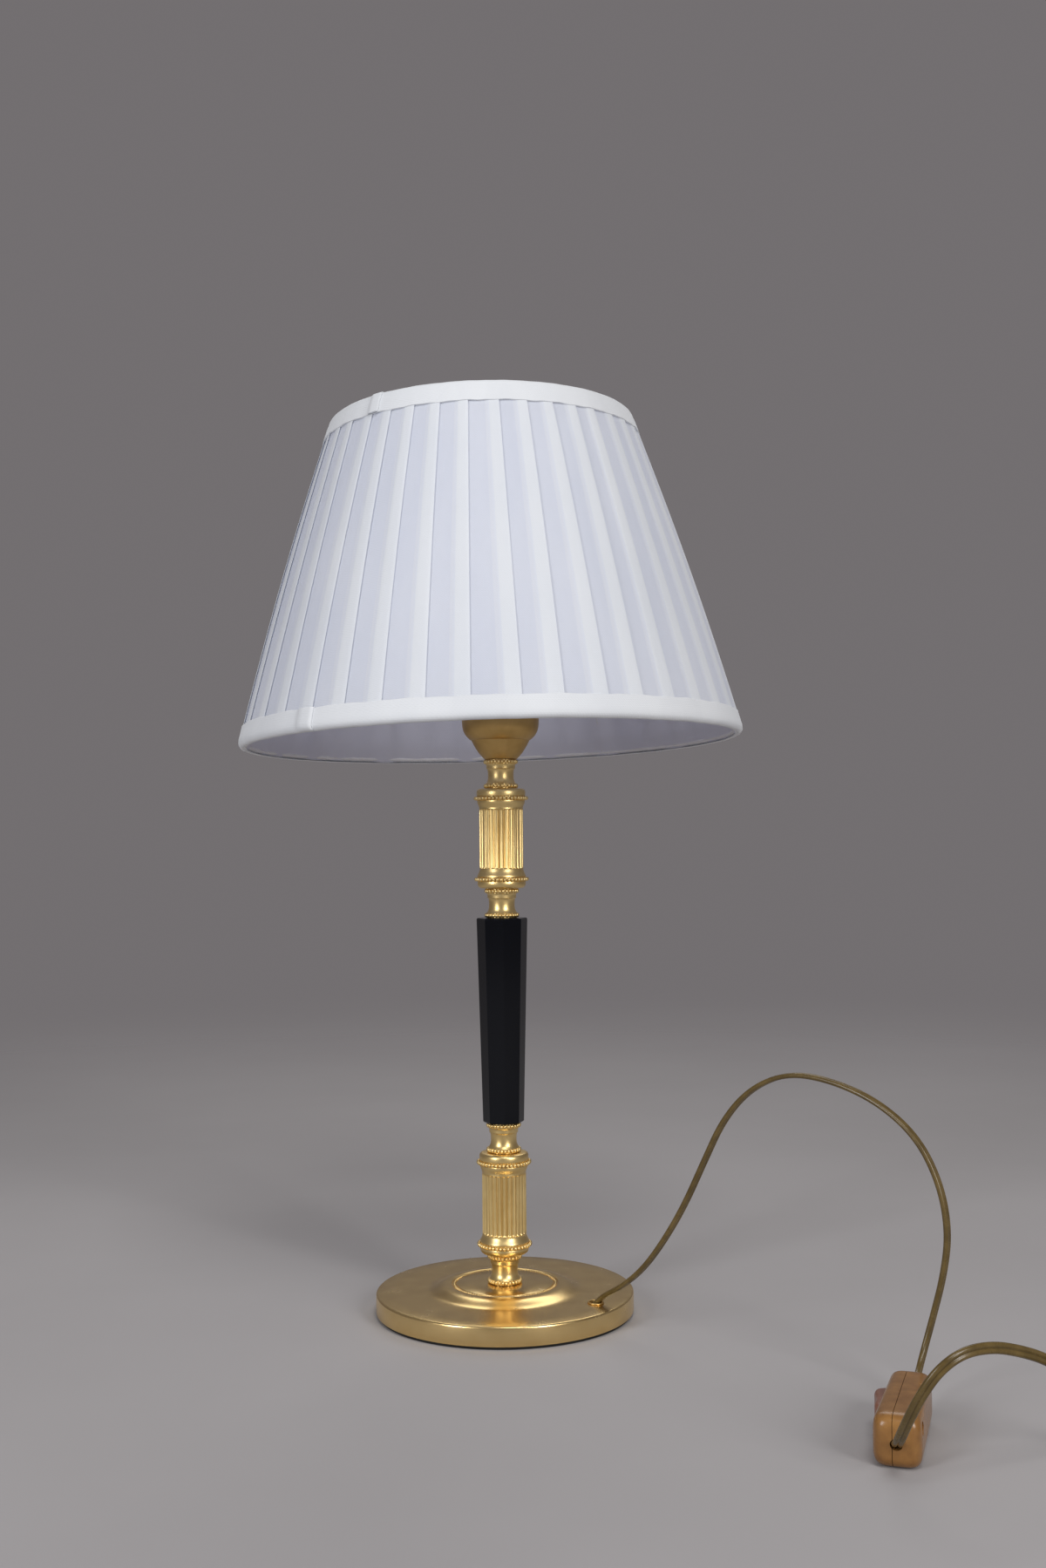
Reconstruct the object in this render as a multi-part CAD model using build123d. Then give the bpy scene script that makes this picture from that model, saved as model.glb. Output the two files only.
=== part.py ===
from build123d import *
import math
import os

# Desk lamp: round brass base, turned brass column with a black octagonal stem,
# pleated cloth shade, and a flex with an inline rocker switch, a coil and a plug.
# Millimetres, +Z up, origin at the middle of the base's underside, viewer on the -Y side.

os.makedirs("parts", exist_ok=True)

# Clearances
part_gap = 0.3
close_gap = 0.15
hinge_gap = 0.05

# Base
base_diameter = 140.0
base_sheet = 1.5
base_rim_top = 11.8
felt_thickness = 1.6
felt_inset = 1.5
base_edge_chamfer = 0.9
step_foot_radius = 41.5
step_top_radius = 36.5
base_top = 15.4
groove_ring_radius = 27.9
groove_ring_size = 1.6
groove_ring_sink = 0.5
ballast_height = 7.2
ballast_bore = 13.0
flex_channel = 13.0

# Tube that holds the column together
tube_diameter = 9.8
tube_bore_diameter = 7.0
tube_foot = 6.0
nut_flats = 14.0
nut_height = 5.0
washer_diameter = 18.0
washer_thickness = 1.2

# Column
spool_height = 16.2
spool_ring_radius = 8.25
spool_ring_size = 1.5
spool_collar_radius = 7.9
drum_height = 54.6
drum_radius = 12.0
drum_foot_height = 10.0
drum_cap_height = 10.5
bead_row_radius = 13.5
bead_row_size = 1.6
drum_flute_count = 30
flute_radius = 0.95
flute_end = 1.6
stem_height = 111.4
stem_top_radius = 13.95
stem_foot_radius = 11.15
stem_turn_degrees = 4.0
stem_chamfer = 0.6

# Socket cup and lamp holder
cup_height = 32.2
cup_radius = 21.2
cup_shoulder_radius = 17.4
cup_foot_radius = 8.8
cup_sheet = 0.9
holder_radius = 13.4
holder_wall = 1.4
holder_floor = 3.0
holder_lift = 9.0
insert_height = 11.0
shell_radius = 7.3
shell_wall = 0.4
shell_height = 17.0
skirt_radius = 14.2
skirt_wall = 1.4
skirt_height = 25.0
flange_radius = 19.9
flange_thickness = 1.8
shade_nut_radius = 18.6
shade_nut_height = 6.5
shade_nut_gap = 4.4

# Lamp bulb with a small screw cap
cap_radius = 6.95
cap_height = 16.5
cap_sheet = 0.5
bulb_tip_height = 1.8
bulb_tip_radius = 2.4
bulb_insulator_height = 2.4
glass_radius = 22.5
glass_neck_radius = 6.1
glass_height = 60.0
glass_sheet = 0.8

# Shade, drawn upright on its own axis and then leaned
shade_height = 178.0
shade_wide_radius = 137.8
shade_narrow_radius = 83.7
shade_wire = 3.0
rib_wire = 2.0
rib_inset = 0.55
rib_count = 6
pleat_count = 39
pleat_depth = 1.3
pleat_cloth = 0.6
lining_inset = 4.6
lining_cloth = 0.5
trim_cloth = 0.9
wide_trim_height = 11.8
narrow_trim_height = 10.8
trim_return = 5.0
shade_rim_height = 309.2
shade_shift_left = 5.6
shade_shift_back = 0.0
shade_lean_left_degrees = 1.4
shade_lean_back_degrees = 1.9
fitter_bore_radius = 21.0
fitter_ring_width = 6.5
fitter_sheet = 1.5
fitter_wire = 2.6
arm_count = 3
arm_first_degrees = 60.0

# Flex
cord_diameter = 4.4
eyelet_radius = 6.0
eyelet_bore_radius = 4.2
eyelet_height = 1.4
hole_place_share = 0.805
hole_turn_degrees = -31.2
inner_flex_diameter = 3.0
inner_flex_height = 4.2
inner_flex_share = 0.83

# Switch on the flex, standing on its long edge
switch_x = 171.8
switch_y = -200.0
switch_turn_degrees = -18.9
switch_length = 64.0
switch_height = 22.0
switch_thickness = 18.0
switch_seam = -1.8
switch_wall = 1.8
switch_corner = 6.0
switch_edge = 1.6
switch_exit_height = 10.0
rocker_length = 22.0
rocker_width = 11.0
rocker_dish = 1.5
rocker_rise = 4.2
rocker_depth = 6.0
rocker_offset = 5.0
rocker_tilt_degrees = 7.0
rocker_hub_radius = 2.6
rocker_pin_radius = 1.2
switch_screw_radius = 2.6
switch_screw_depth = 1.2
switch_screw_spread = 24.0
contact_length = 30.0
contact_height = 9.0
contact_thickness = 2.4

# Coil, tie and plug
coil_x = 286.5
coil_y = -241.5
coil_lift = 1.0
coil_outer_radius = 33.5
coil_climb_inset = 0.6
coil_pitch = 5.0
coil_layer_step = 4.9
coil_half_turns_in = 6
coil_half_turns_out = 7
tie_width = 9.0
tie_sheet = 0.7
tie_turn_degrees = -60.0
lead_length = 26.0
plug_length = 35.0
plug_width = 26.0
plug_thickness = 13.7
plug_neck_width = 12.0
plug_pin_radius = 2.0
plug_pin_length = 19.0
plug_pin_spacing = 18.6

# Route of the flex from the base to the switch, in real places chosen by hand
lead_points = [
    (44.6, -26.4, 6.2),
    (49.6, -30.4, 14.9),
    (61.0, -39.2, 22.8),
    (72.0, -47.4, 34.0),
    (82.0, -55.0, 49.8),
    (92.3, -62.7, 69.8),
    (101.8, -69.8, 93.4),
    (111.0, -76.7, 115.8),
    (123.4, -86.0, 132.6),
    (139.8, -98.2, 142.0),
    (158.2, -112.0, 140.6),
    (177.6, -126.6, 132.6),
    (193.4, -138.4, 118.0),
    (202.2, -145.0, 97.6),
    (205.2, -147.2, 76.0),
    (203.0, -145.4, 56.0),
    (198.6, -142.0, 36.0),
    (193.6, -143.4, 20.4),
    (187.9, -153.2, 10.8),
    (180.9, -173.5, 10.0),
]

# Route of the flex from the switch to the coil
tail_points = [
    (162.7, -226.5, 10.0),
    (159.2, -241.0, 13.6),
    (160.6, -252.6, 26.8),
    (165.6, -258.2, 40.4),
    (172.4, -260.2, 50.6),
    (182.6, -257.6, 56.4),
    (196.0, -250.4, 56.0),
    (209.0, -242.6, 51.8),
    (221.2, -235.6, 46.4),
    (235.0, -227.2, 37.0),
    (245.2, -219.6, 23.0),
    (252.6, -213.9, 9.8),
    (262.4, -208.8, 3.2),
    (277.0, -208.1, 3.2),
    (286.5, -208.0, 3.2),
]

# Heights of the column's pieces
foot_spool_z = base_top
lower_drum_z = foot_spool_z + spool_height
stem_spool_z = lower_drum_z + drum_height
stem_z = stem_spool_z + spool_height
upper_spool_z = stem_z + stem_height
upper_drum_z = upper_spool_z + spool_height
neck_spool_z = upper_drum_z + drum_height
cup_z = neck_spool_z + spool_height
cup_top_z = cup_z + cup_height
holder_z = cup_z + holder_lift
tube_radius = tube_diameter / 2
bore_radius = tube_radius + close_gap
hole_reach = base_diameter / 2 * hole_place_share
hole_x = hole_reach * math.cos(math.radians(hole_turn_degrees))
hole_y = hole_reach * math.sin(math.radians(hole_turn_degrees))

# Heights of the holder and the bulb
insert_z = holder_z + holder_floor + part_gap
shell_z = insert_z + insert_height + part_gap
bulb_z = shell_z + close_gap
cap_z = bulb_z + bulb_tip_height + bulb_insulator_height
glass_z = cap_z + cap_height
skirt_z = cup_top_z - flange_thickness
nut_z = cup_top_z + shade_nut_gap
shade_slope = (shade_wide_radius - shade_narrow_radius) / shade_height
fitter_z = (cup_top_z + nut_z) / 2


def save(name, solid):
    export_step(solid, f"parts/{name}.step")


def turned(points):
    line = Polyline(*[(radius, 0, height) for radius, height in points], close=True)
    return revolve(make_face(line), Axis.Z)


def scaled(shares, radius, height, lift=0):
    return [(radius * across, lift + height * up) for across, up in shares]


def ring(radius, wire, height):
    return Pos(0, 0, height) * Torus(radius, wire)


def tube_bore(low, high):
    middle = (low + high) / 2
    return Pos(0, 0, middle) * Cylinder(bore_radius, high - low + part_gap)


def base_line(shrink):
    # top line of the base from the rim to the centre, moved in by the sheet
    outer = base_diameter / 2 - shrink
    return [
        (outer, felt_thickness),
        (outer, base_rim_top - base_edge_chamfer - shrink),
        (outer - base_edge_chamfer, base_rim_top - shrink),
        (step_foot_radius - shrink, base_rim_top + part_gap - shrink),
        (step_top_radius + (step_foot_radius - step_top_radius) / 3 - shrink, base_top - part_gap - shrink),
        (step_top_radius - shrink, base_top - shrink),
    ]


def base_shell():
    outside = base_line(0) + [(bore_radius, base_top)]
    inside = [(bore_radius, base_top - base_sheet)] + base_line(base_sheet)[::-1]
    shell = turned(outside + inside)
    groove = ring(groove_ring_radius, groove_ring_size / 2, base_top + groove_ring_sink)
    hole = Pos(hole_x, hole_y, base_rim_top) * Cylinder(eyelet_bore_radius + base_sheet / 2, base_top)
    return shell - groove - hole


def base_ballast():
    outer = base_diameter / 2 - base_sheet - part_gap
    low = felt_thickness + part_gap
    high = low + ballast_height
    disc = turned([(ballast_bore, low), (outer, low), (outer, high), (ballast_bore, high)])
    reach = math.hypot(hole_x, hole_y) + flex_channel / 2
    turn = math.degrees(math.atan2(hole_y, hole_x))
    channel = Rot(0, 0, turn) * Pos(reach / 2, 0, base_rim_top / 2) * Box(reach, flex_channel, base_top)
    return disc - channel


def base_felt():
    radius = base_diameter / 2 - felt_inset
    return Pos(0, 0, felt_thickness / 2) * Cylinder(radius, felt_thickness)


def base_washer():
    top = base_top - base_sheet
    return turned([
        (bore_radius, top - washer_thickness),
        (washer_diameter / 2, top - washer_thickness),
        (washer_diameter / 2, top),
        (bore_radius, top),
    ])


def base_nut():
    top = base_top - base_sheet - washer_thickness
    flats = RegularPolygon(nut_flats / 2, 6, major_radius=False) - Circle(tube_radius)
    return Pos(0, 0, top - nut_height) * extrude(flats, nut_height)


def threaded_tube():
    top = holder_z + holder_floor
    return turned([
        (tube_bore_diameter / 2, tube_foot),
        (tube_radius, tube_foot),
        (tube_radius, top),
        (tube_bore_diameter / 2, top),
    ])


def cord_eyelet():
    # collar on the base's top, with a sleeve down through the hole
    top = base_rim_top + eyelet_height
    sleeve = eyelet_bore_radius + base_sheet / 2 - close_gap
    low = base_rim_top - base_sheet
    collar = turned([
        (eyelet_bore_radius, low),
        (sleeve, low),
        (sleeve, base_rim_top + part_gap),
        (eyelet_radius, base_rim_top + part_gap),
        (eyelet_radius - eyelet_height / 3, top),
        (eyelet_bore_radius, top),
    ])
    return Pos(hole_x, hole_y, 0) * collar


def inner_flex():
    # flex inside the base, from below the eyelet to the foot of the tube
    run = FilletPolyline(
        (0, 0, tube_foot + spool_height),
        (0, 0, inner_flex_height),
        (hole_x * inner_flex_share, hole_y * inner_flex_share, inner_flex_height),
        radius=inner_flex_diameter,
    )
    return sweep(Plane(run @ 0, z_dir=run % 0) * Circle(inner_flex_diameter / 2), path=run)


spool_shares = [
    (0.0, 0.0),
    (1.0, 0.0),
    (1.0, 0.19),
    (0.93, 0.27),
    (0.88, 0.30),
    (0.86, 0.48),
    (0.86, 0.60),
    (1.0, 0.66),
    (1.0, 1.0),
    (0.0, 1.0),
]


def spool(low):
    body = turned(scaled(spool_shares, spool_collar_radius, spool_height, low))
    lower = ring(spool_ring_radius, spool_ring_size, low + spool_ring_size)
    upper = ring(spool_ring_radius, spool_ring_size, low + spool_height - spool_ring_size)
    return body + lower + upper - tube_bore(low, low + spool_height)


drum_foot_shares = [
    (0.0, 0.0),
    (0.74, 0.0),
    (0.97, 0.22),
    (0.99, 0.64),
    (0.90, 0.80),
    (0.89, 1.0),
    (0.0, 1.0),
]
drum_cap_shares = [
    (0.0, 0.0),
    (0.90, 0.0),
    (0.91, 0.16),
    (0.98, 0.32),
    (0.97, 0.80),
    (0.95, 0.93),
    (0.85, 1.0),
    (0.0, 1.0),
]


def drum_foot(low):
    body = turned(scaled(drum_foot_shares, bead_row_radius, drum_foot_height, low))
    row = ring(bead_row_radius, bead_row_size, low + drum_foot_height / 2)
    return body + row - tube_bore(low, low + drum_foot_height)


def drum_cap(low):
    body = turned(scaled(drum_cap_shares, bead_row_radius, drum_cap_height, low))
    row = ring(bead_row_radius, bead_row_size, low + drum_cap_height / 2)
    return body + row - tube_bore(low, low + drum_cap_height)


def fluted_drum(low):
    height = drum_height - drum_foot_height - drum_cap_height
    body = Pos(0, 0, low + height / 2) * Cylinder(drum_radius, height)
    flute = Pos(0, 0, low + height / 2) * Cylinder(flute_radius, height - 2 * flute_end)
    flutes = [around * flute for around in PolarLocations(drum_radius + flute_radius / 3, drum_flute_count)]
    return body - flutes - tube_bore(low, low + height)


def octagonal_stem():
    foot = Plane.XY.offset(stem_z) * RegularPolygon(stem_foot_radius, 8, rotation=stem_turn_degrees)
    top = Plane.XY.offset(stem_z + stem_height)
    head = top * RegularPolygon(stem_top_radius, 8, rotation=stem_turn_degrees)
    body = loft([foot.face(), head.face()], ruled=True)
    ends = body.faces().sort_by(Axis.Z)
    body = chamfer(ends[0].edges() + ends[-1].edges(), stem_chamfer)
    return body - tube_bore(stem_z, stem_z + stem_height)


cup_belly_share = 0.52
cup_belly_rise_share = 0.17
cup_bowl_share = 0.36
cup_shoulder_share = 0.40
cup_swell_out_share = 0.72
cup_swell_rise_share = 0.49
cup_swell_share = 0.67


def cup_line(inset):
    # bowl, small step and swelling lip, in the plane y = 0
    foot = (cup_foot_radius, 0, cup_z + inset)
    belly_radius = cup_foot_radius + (cup_shoulder_radius - cup_foot_radius) * cup_belly_share
    belly = (belly_radius - inset, 0, cup_z + cup_height * cup_belly_rise_share + inset * 0.6)
    shoulder = (cup_shoulder_radius - inset, 0, cup_z + cup_height * cup_bowl_share)
    step = (cup_shoulder_radius - inset, 0, cup_z + cup_height * cup_shoulder_share)
    swell_radius = cup_shoulder_radius + (cup_radius - cup_shoulder_radius) * cup_swell_out_share
    swell = (swell_radius - inset, 0, cup_z + cup_height * cup_swell_rise_share)
    lip = (cup_radius - inset, 0, cup_z + cup_height * cup_swell_share)
    top = (cup_radius - inset, 0, cup_top_z)
    return [
        ThreePointArc(foot, belly, shoulder),
        Line(shoulder, step),
        ThreePointArc(step, swell, lip),
        Line(lip, top),
    ]


def socket_cup():
    outside = cup_line(0)
    inside = cup_line(cup_sheet)
    mouth = Line(outside[-1] @ 1, inside[-1] @ 1)
    hole_low = (bore_radius, 0, cup_z)
    hole_high = (bore_radius, 0, cup_z + cup_sheet)
    floor = [Line(outside[0] @ 0, hole_low), Line(hole_low, hole_high), Line(hole_high, inside[0] @ 0)]
    return revolve(make_face(outside + [mouth] + inside + floor), Axis.Z)


def holder_base():
    top = skirt_z - close_gap
    inner = holder_radius - holder_wall
    return turned([
        (tube_radius + close_gap, holder_z),
        (holder_radius, holder_z),
        (holder_radius, top),
        (inner, top),
        (inner, holder_z + holder_floor),
        (tube_radius + close_gap, holder_z + holder_floor),
    ])


def holder_insert():
    radius = holder_radius - holder_wall - part_gap
    return Pos(0, 0, insert_z + insert_height / 2) * Cylinder(radius, insert_height)


def screw_shell():
    low = shell_z - part_gap
    return turned([
        (shell_radius, low),
        (shell_radius + shell_wall, low),
        (shell_radius + shell_wall, low + shell_height),
        (shell_radius, low + shell_height),
    ])


def holder_skirt():
    inner = skirt_radius - skirt_wall
    return turned([
        (inner, skirt_z),
        (flange_radius, skirt_z),
        (flange_radius, cup_top_z),
        (skirt_radius, cup_top_z),
        (skirt_radius, skirt_z + skirt_height),
        (inner, skirt_z + skirt_height),
    ])


def shade_nut():
    inner = skirt_radius + close_gap
    ribbed = (shade_nut_radius + inner) / 2
    return turned([
        (inner, nut_z),
        (shade_nut_radius, nut_z),
        (shade_nut_radius, nut_z + flange_thickness),
        (ribbed, nut_z + flange_thickness),
        (ribbed, nut_z + shade_nut_height),
        (inner, nut_z + shade_nut_height),
    ])


def bulb_contact():
    return turned([
        (0, bulb_z),
        (bulb_tip_radius, bulb_z + bulb_tip_height / 2),
        (bulb_tip_radius, bulb_z + bulb_tip_height),
        (0, bulb_z + bulb_tip_height),
    ])


def bulb_cap():
    low = bulb_z + bulb_tip_height + close_gap
    inner = cap_radius - cap_sheet
    return turned([
        (0, low),
        (bulb_tip_radius, low),
        (cap_radius, cap_z),
        (cap_radius, glass_z),
        (inner, glass_z),
        (inner, cap_z + cap_sheet),
        (0, cap_z + cap_sheet),
    ])


def glass_line(inset):
    low = cap_z + cap_height * 0.6 + inset
    centre = glass_z + glass_height - glass_radius
    neck_low = (glass_neck_radius - inset, 0, low)
    neck_high = (glass_neck_radius - inset, 0, glass_z + cap_sheet)
    shoulder = (glass_radius * 0.80 - inset, 0, centre - glass_radius * 0.60)
    belly = (glass_radius - inset, 0, centre)
    bend = (glass_radius * 0.96 - inset, 0, centre - glass_radius * 0.28)
    slant = (glass_radius - inset) * math.sqrt(2) / 2
    crown_mid = (slant, 0, centre + slant)
    crown = (0, 0, centre + glass_radius - inset)
    return [
        Line((0, 0, low), neck_low),
        Line(neck_low, neck_high),
        Line(neck_high, shoulder),
        ThreePointArc(shoulder, bend, belly),
        ThreePointArc(belly, crown_mid, crown),
    ]


def bulb_glass():
    outer = glass_line(0)
    inner = glass_line(glass_sheet)
    axis_low = Line(outer[0] @ 0, inner[0] @ 0)
    axis_high = Line(outer[-1] @ 1, inner[-1] @ 1)
    return revolve(make_face(outer + [axis_high] + inner + [axis_low]), Axis.Z)


def shade_radius(height):
    # radius of the pleats' outer folds at a height above the shade's lower edge
    return shade_wide_radius - shade_slope * height


def leaned(solid):
    # shade pieces are drawn from their lower edge up, then set on the lamp
    up = fitter_z - shade_rim_height
    seat = Pos(-shade_shift_left, shade_shift_back, fitter_z)
    lean = Rot(0, -shade_lean_left_degrees, 0) * Rot(-shade_lean_back_degrees, 0, 0)
    return seat * lean * Pos(0, 0, -up) * solid


wide_wire_height = shade_wire / 2 + trim_cloth + part_gap
narrow_wire_height = shade_height - wide_wire_height


def wire_radius(height):
    return shade_radius(height) - trim_cloth - part_gap - shade_wire / 2


def rib(turn):
    low = Vector(wire_radius(wide_wire_height) - rib_inset, 0, wide_wire_height)
    high = Vector(wire_radius(narrow_wire_height) - rib_inset, 0, narrow_wire_height)
    rod = Solid.make_cylinder(rib_wire / 2, (high - low).length, Plane(low, z_dir=high - low))
    return Rot(0, 0, turn) * rod


def shade_frame():
    wide = ring(wire_radius(wide_wire_height), shade_wire / 2, wide_wire_height)
    narrow = ring(wire_radius(narrow_wire_height), shade_wire / 2, narrow_wire_height)
    ribs = [rib(360 * index / rib_count) for index in range(rib_count)]
    return leaned(wide + narrow + ribs)


def shade_fitter():
    level = fitter_z - shade_rim_height
    outer = fitter_bore_radius + fitter_ring_width
    plate = turned([
        (fitter_bore_radius, level - fitter_sheet / 2),
        (outer, level - fitter_sheet / 2),
        (outer, level + fitter_sheet / 2),
        (fitter_bore_radius, level + fitter_sheet / 2),
    ])
    end_height = shade_height - trim_return * 0.7
    inner_face = wire_radius(narrow_wire_height) - shade_wire / 2 - trim_cloth - part_gap
    low = Vector(outer - fitter_wire / 2, 0, level)
    high = Vector(inner_face - close_gap - fitter_wire / 2, 0, end_height)
    rod = Solid.make_cylinder(fitter_wire / 2, (high - low).length, Plane(low, z_dir=high - low))
    arms = [Rot(0, 0, arm_first_degrees + 360 * index / arm_count) * rod for index in range(arm_count)]
    return leaned(plate + arms)


def shade_lining():
    low = trim_return + close_gap
    high = shade_height - trim_return - close_gap
    outer_low = shade_radius(low) - lining_inset
    outer_high = shade_radius(high) - lining_inset
    return leaned(turned([
        (outer_low - lining_cloth, low),
        (outer_low, low),
        (outer_high, high),
        (outer_high - lining_cloth, high),
    ]))


# each pleat goes round by these shares of its pitch, and out by these shares of its depth
pleat_turn_shares = [0.0, 0.58, 0.62, 0.97]
pleat_rise_shares = [0.0, 0.25, 0.6, 1.0]


def pleat_outline(height, inset):
    root = shade_radius(height) - pleat_depth - inset
    points = []
    for pleat in range(pleat_count):
        for turn_share, rise_share in zip(pleat_turn_shares, pleat_rise_shares):
            turn = 2 * math.pi * (pleat + turn_share) / pleat_count
            out = root + pleat_depth * rise_share
            points.append((out * math.cos(turn), out * math.sin(turn), height))
    return make_face(Polyline(*points, close=True))


def shade_cover():
    # the cloth's inner side follows the same folds as its outer side
    low = wide_trim_height + close_gap
    high = shade_height - narrow_trim_height - close_gap
    outside = loft([pleat_outline(low, 0), pleat_outline(high, 0)], ruled=True)
    inside = loft([
        pleat_outline(low - part_gap, pleat_cloth),
        pleat_outline(high + part_gap, pleat_cloth),
    ], ruled=True)
    return leaned(outside - inside)


def trim(edge, inward, height):
    # bias tape folded over the wire: an outer leg, a rounded edge and a short inner leg
    wire_height = edge + inward * wide_wire_height
    wire = wire_radius(wire_height)
    reach = shade_wire / 2 + part_gap
    far = reach + trim_cloth
    crown = edge + inward * trim_cloth
    outer_end = edge + inward * height
    inner_end = edge + inward * trim_return
    lip = wire_radius(outer_end) + reach
    hem = wire_radius(inner_end) - reach
    outside = [
        Line((lip, 0, outer_end), (lip + trim_cloth, 0, outer_end)),
        Line((lip + trim_cloth, 0, outer_end), (wire + far, 0, wire_height)),
        ThreePointArc((wire + far, 0, wire_height), (wire, 0, edge), (wire - far, 0, wire_height)),
        Line((wire - far, 0, wire_height), (hem - trim_cloth, 0, inner_end)),
        Line((hem - trim_cloth, 0, inner_end), (hem, 0, inner_end)),
        Line((hem, 0, inner_end), (wire - reach, 0, wire_height)),
        ThreePointArc((wire - reach, 0, wire_height), (wire, 0, crown), (wire + reach, 0, wire_height)),
        Line((wire + reach, 0, wire_height), (lip, 0, outer_end)),
    ]
    return leaned(revolve(make_face(outside), Axis.Z))


def shorter_run(points, index):
    before = (Vector(points[index]) - Vector(points[index - 1])).length
    after = (Vector(points[index + 1]) - Vector(points[index])).length
    return min(before, after)


def half_turn(points, index):
    before = Vector(points[index]) - Vector(points[index - 1])
    after = Vector(points[index + 1]) - Vector(points[index])
    return math.radians(before.get_angle(after)) / 2


def bend_radii(points):
    inner = range(1, len(points) - 1)
    return [0.45 * shorter_run(points, index) / math.tan(half_turn(points, index)) for index in inner]


def cord(name, points):
    radii = bend_radii(points)
    run = FilletPolyline(*points, radius=radii)
    solid = sweep(Plane(run @ 0, z_dir=run % 0) * Circle(cord_diameter / 2), path=run)
    section = math.pi * cord_diameter ** 2 / 4
    print(name, "least bend radius", round(min(radii), 1), "of diameter", cord_diameter)
    print(name, "volume", round(solid.volume), "section times length", round(section * run.length))
    print(name, "length", round(run.length, 1))
    return solid


def coil_marks():
    # where the line crosses the coil's own axis: distance out, side and height
    low = coil_lift + cord_diameter / 2
    high = low + coil_layer_step
    inner = coil_outer_radius - coil_half_turns_in * coil_pitch / 2
    marks = []
    for index in range(coil_half_turns_in):
        marks.append((coil_outer_radius - index * coil_pitch / 2, (-1) ** index, low))
    side = (-1) ** coil_half_turns_in
    marks.append((inner - coil_climb_inset, side, low))
    marks.append((inner - coil_climb_inset, -side, high))
    for index in range(1, coil_half_turns_out + 1):
        marks.append((inner + index * coil_pitch / 2, -side * (-1) ** index, high))
    return marks


def coil_line():
    marks = coil_marks()
    edges = []
    for (near, side, low), (far, other, high) in zip(marks, marks[1:]):
        start = Vector(coil_x, coil_y + side * near, low)
        end = Vector(coil_x, coil_y + other * far, high)
        middle = (start + end) / 2
        reach = (end - start).length / 2
        bulge = Vector(reach * side, 0, 0)
        edges.append(ThreePointArc(start, middle + bulge, end))
    last = edges[-1] @ 1
    edges.append(Line(last, last + Vector(cord_diameter, 0, 0)))
    return edges


def coil_least_gap(edges):
    # distances between points a third of a turn or more apart along the line
    steps = 24
    places = [edge @ (step / steps) for edge in edges[:-1] for step in range(steps)]
    least = coil_outer_radius
    for index, place in enumerate(places):
        for other in places[index + steps * 2 // 3:]:
            least = min(least, (place - other).length)
    return least - cord_diameter


def cord_coil():
    edges = coil_line()
    run = Wire(edges)
    solid = sweep(Plane(run @ 0, z_dir=run % 0) * Circle(cord_diameter / 2), path=run)
    section = math.pi * cord_diameter ** 2 / 4
    print("coil least gap to itself", round(coil_least_gap(edges), 2))
    print("coil length", round(run.length, 1))
    print("coil volume", round(solid.volume), "section times length", round(section * run.length))
    return solid


def coil_end():
    radius, side, height = coil_marks()[-1]
    return Vector(coil_x + cord_diameter, coil_y + side * radius, height)


def plug_lead():
    start = coil_end()
    end = start + Vector(lead_length, 0, 0)
    return Solid.make_cylinder(cord_diameter / 2, lead_length, Plane(start, z_dir=end - start))


def plug_body():
    start = coil_end() + Vector(lead_length, 0, 0)
    outline = Polyline(
        (0, -plug_neck_width / 2),
        (plug_length / 3, -plug_width / 2),
        (plug_length, -plug_width / 2),
        (plug_length, plug_width / 2),
        (plug_length / 3, plug_width / 2),
        (0, plug_neck_width / 2),
        close=True,
    )
    body = extrude(make_face(outline), plug_thickness)
    body = fillet(body.edges().filter_by(Axis.Z), plug_thickness / 6)
    body = chamfer(body.faces().sort_by(Axis.Z)[-1].edges(), plug_thickness / 12)
    return Pos(start.X, start.Y, start.Z - plug_thickness / 2) * body


def plug_pin(side):
    start = coil_end() + Vector(lead_length + plug_length, side * plug_pin_spacing / 2, 0)
    middle = start + Vector(plug_pin_length / 2, 0, 0)
    pin = Pos(middle.X, middle.Y, middle.Z) * Rot(0, 90, 0) * Cylinder(plug_pin_radius, plug_pin_length)
    return chamfer(pin.edges().sort_by(Axis.X)[-1], plug_pin_radius / 4)


def cord_tie():
    inner = coil_outer_radius - coil_half_turns_in * coil_pitch / 2 - coil_climb_inset
    low = inner - cord_diameter / 2 - 4 * part_gap
    high = coil_outer_radius + coil_pitch / 2 + cord_diameter / 2 + part_gap
    tall = coil_lift + cord_diameter + coil_layer_step + part_gap
    middle = (low + high) / 2
    inner = Pos(middle, 0, (tall + tie_sheet) / 2) * Box(high - low, tie_width * 2, tall - tie_sheet)
    around = Box(high - low + 2 * tie_sheet, tie_width, tall + tie_sheet)
    outer = Pos(middle, 0, (tall + tie_sheet) / 2) * around
    return Pos(coil_x, coil_y, 0) * Rot(0, 0, tie_turn_degrees) * (outer - inner)


def on_switch(solid):
    return Pos(switch_x, switch_y, 0) * Rot(0, 0, switch_turn_degrees) * solid


def switch_block(shrink):
    # the whole housing: long along Y, thin along X, standing on its edge
    side = Rectangle(switch_length - 2 * shrink, switch_height - 2 * shrink)
    side = fillet(side.vertices(), switch_corner - shrink)
    corner = (shrink - switch_thickness / 2, 0, switch_height / 2)
    placed = Plane(corner, x_dir=(0, 1, 0), z_dir=(1, 0, 0)) * side
    block = extrude(placed, switch_thickness - 2 * shrink)
    if shrink == 0:
        ends = block.faces().filter_by(Axis.X)
        block = fillet(ends.edges(), switch_edge)
    return block


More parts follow.
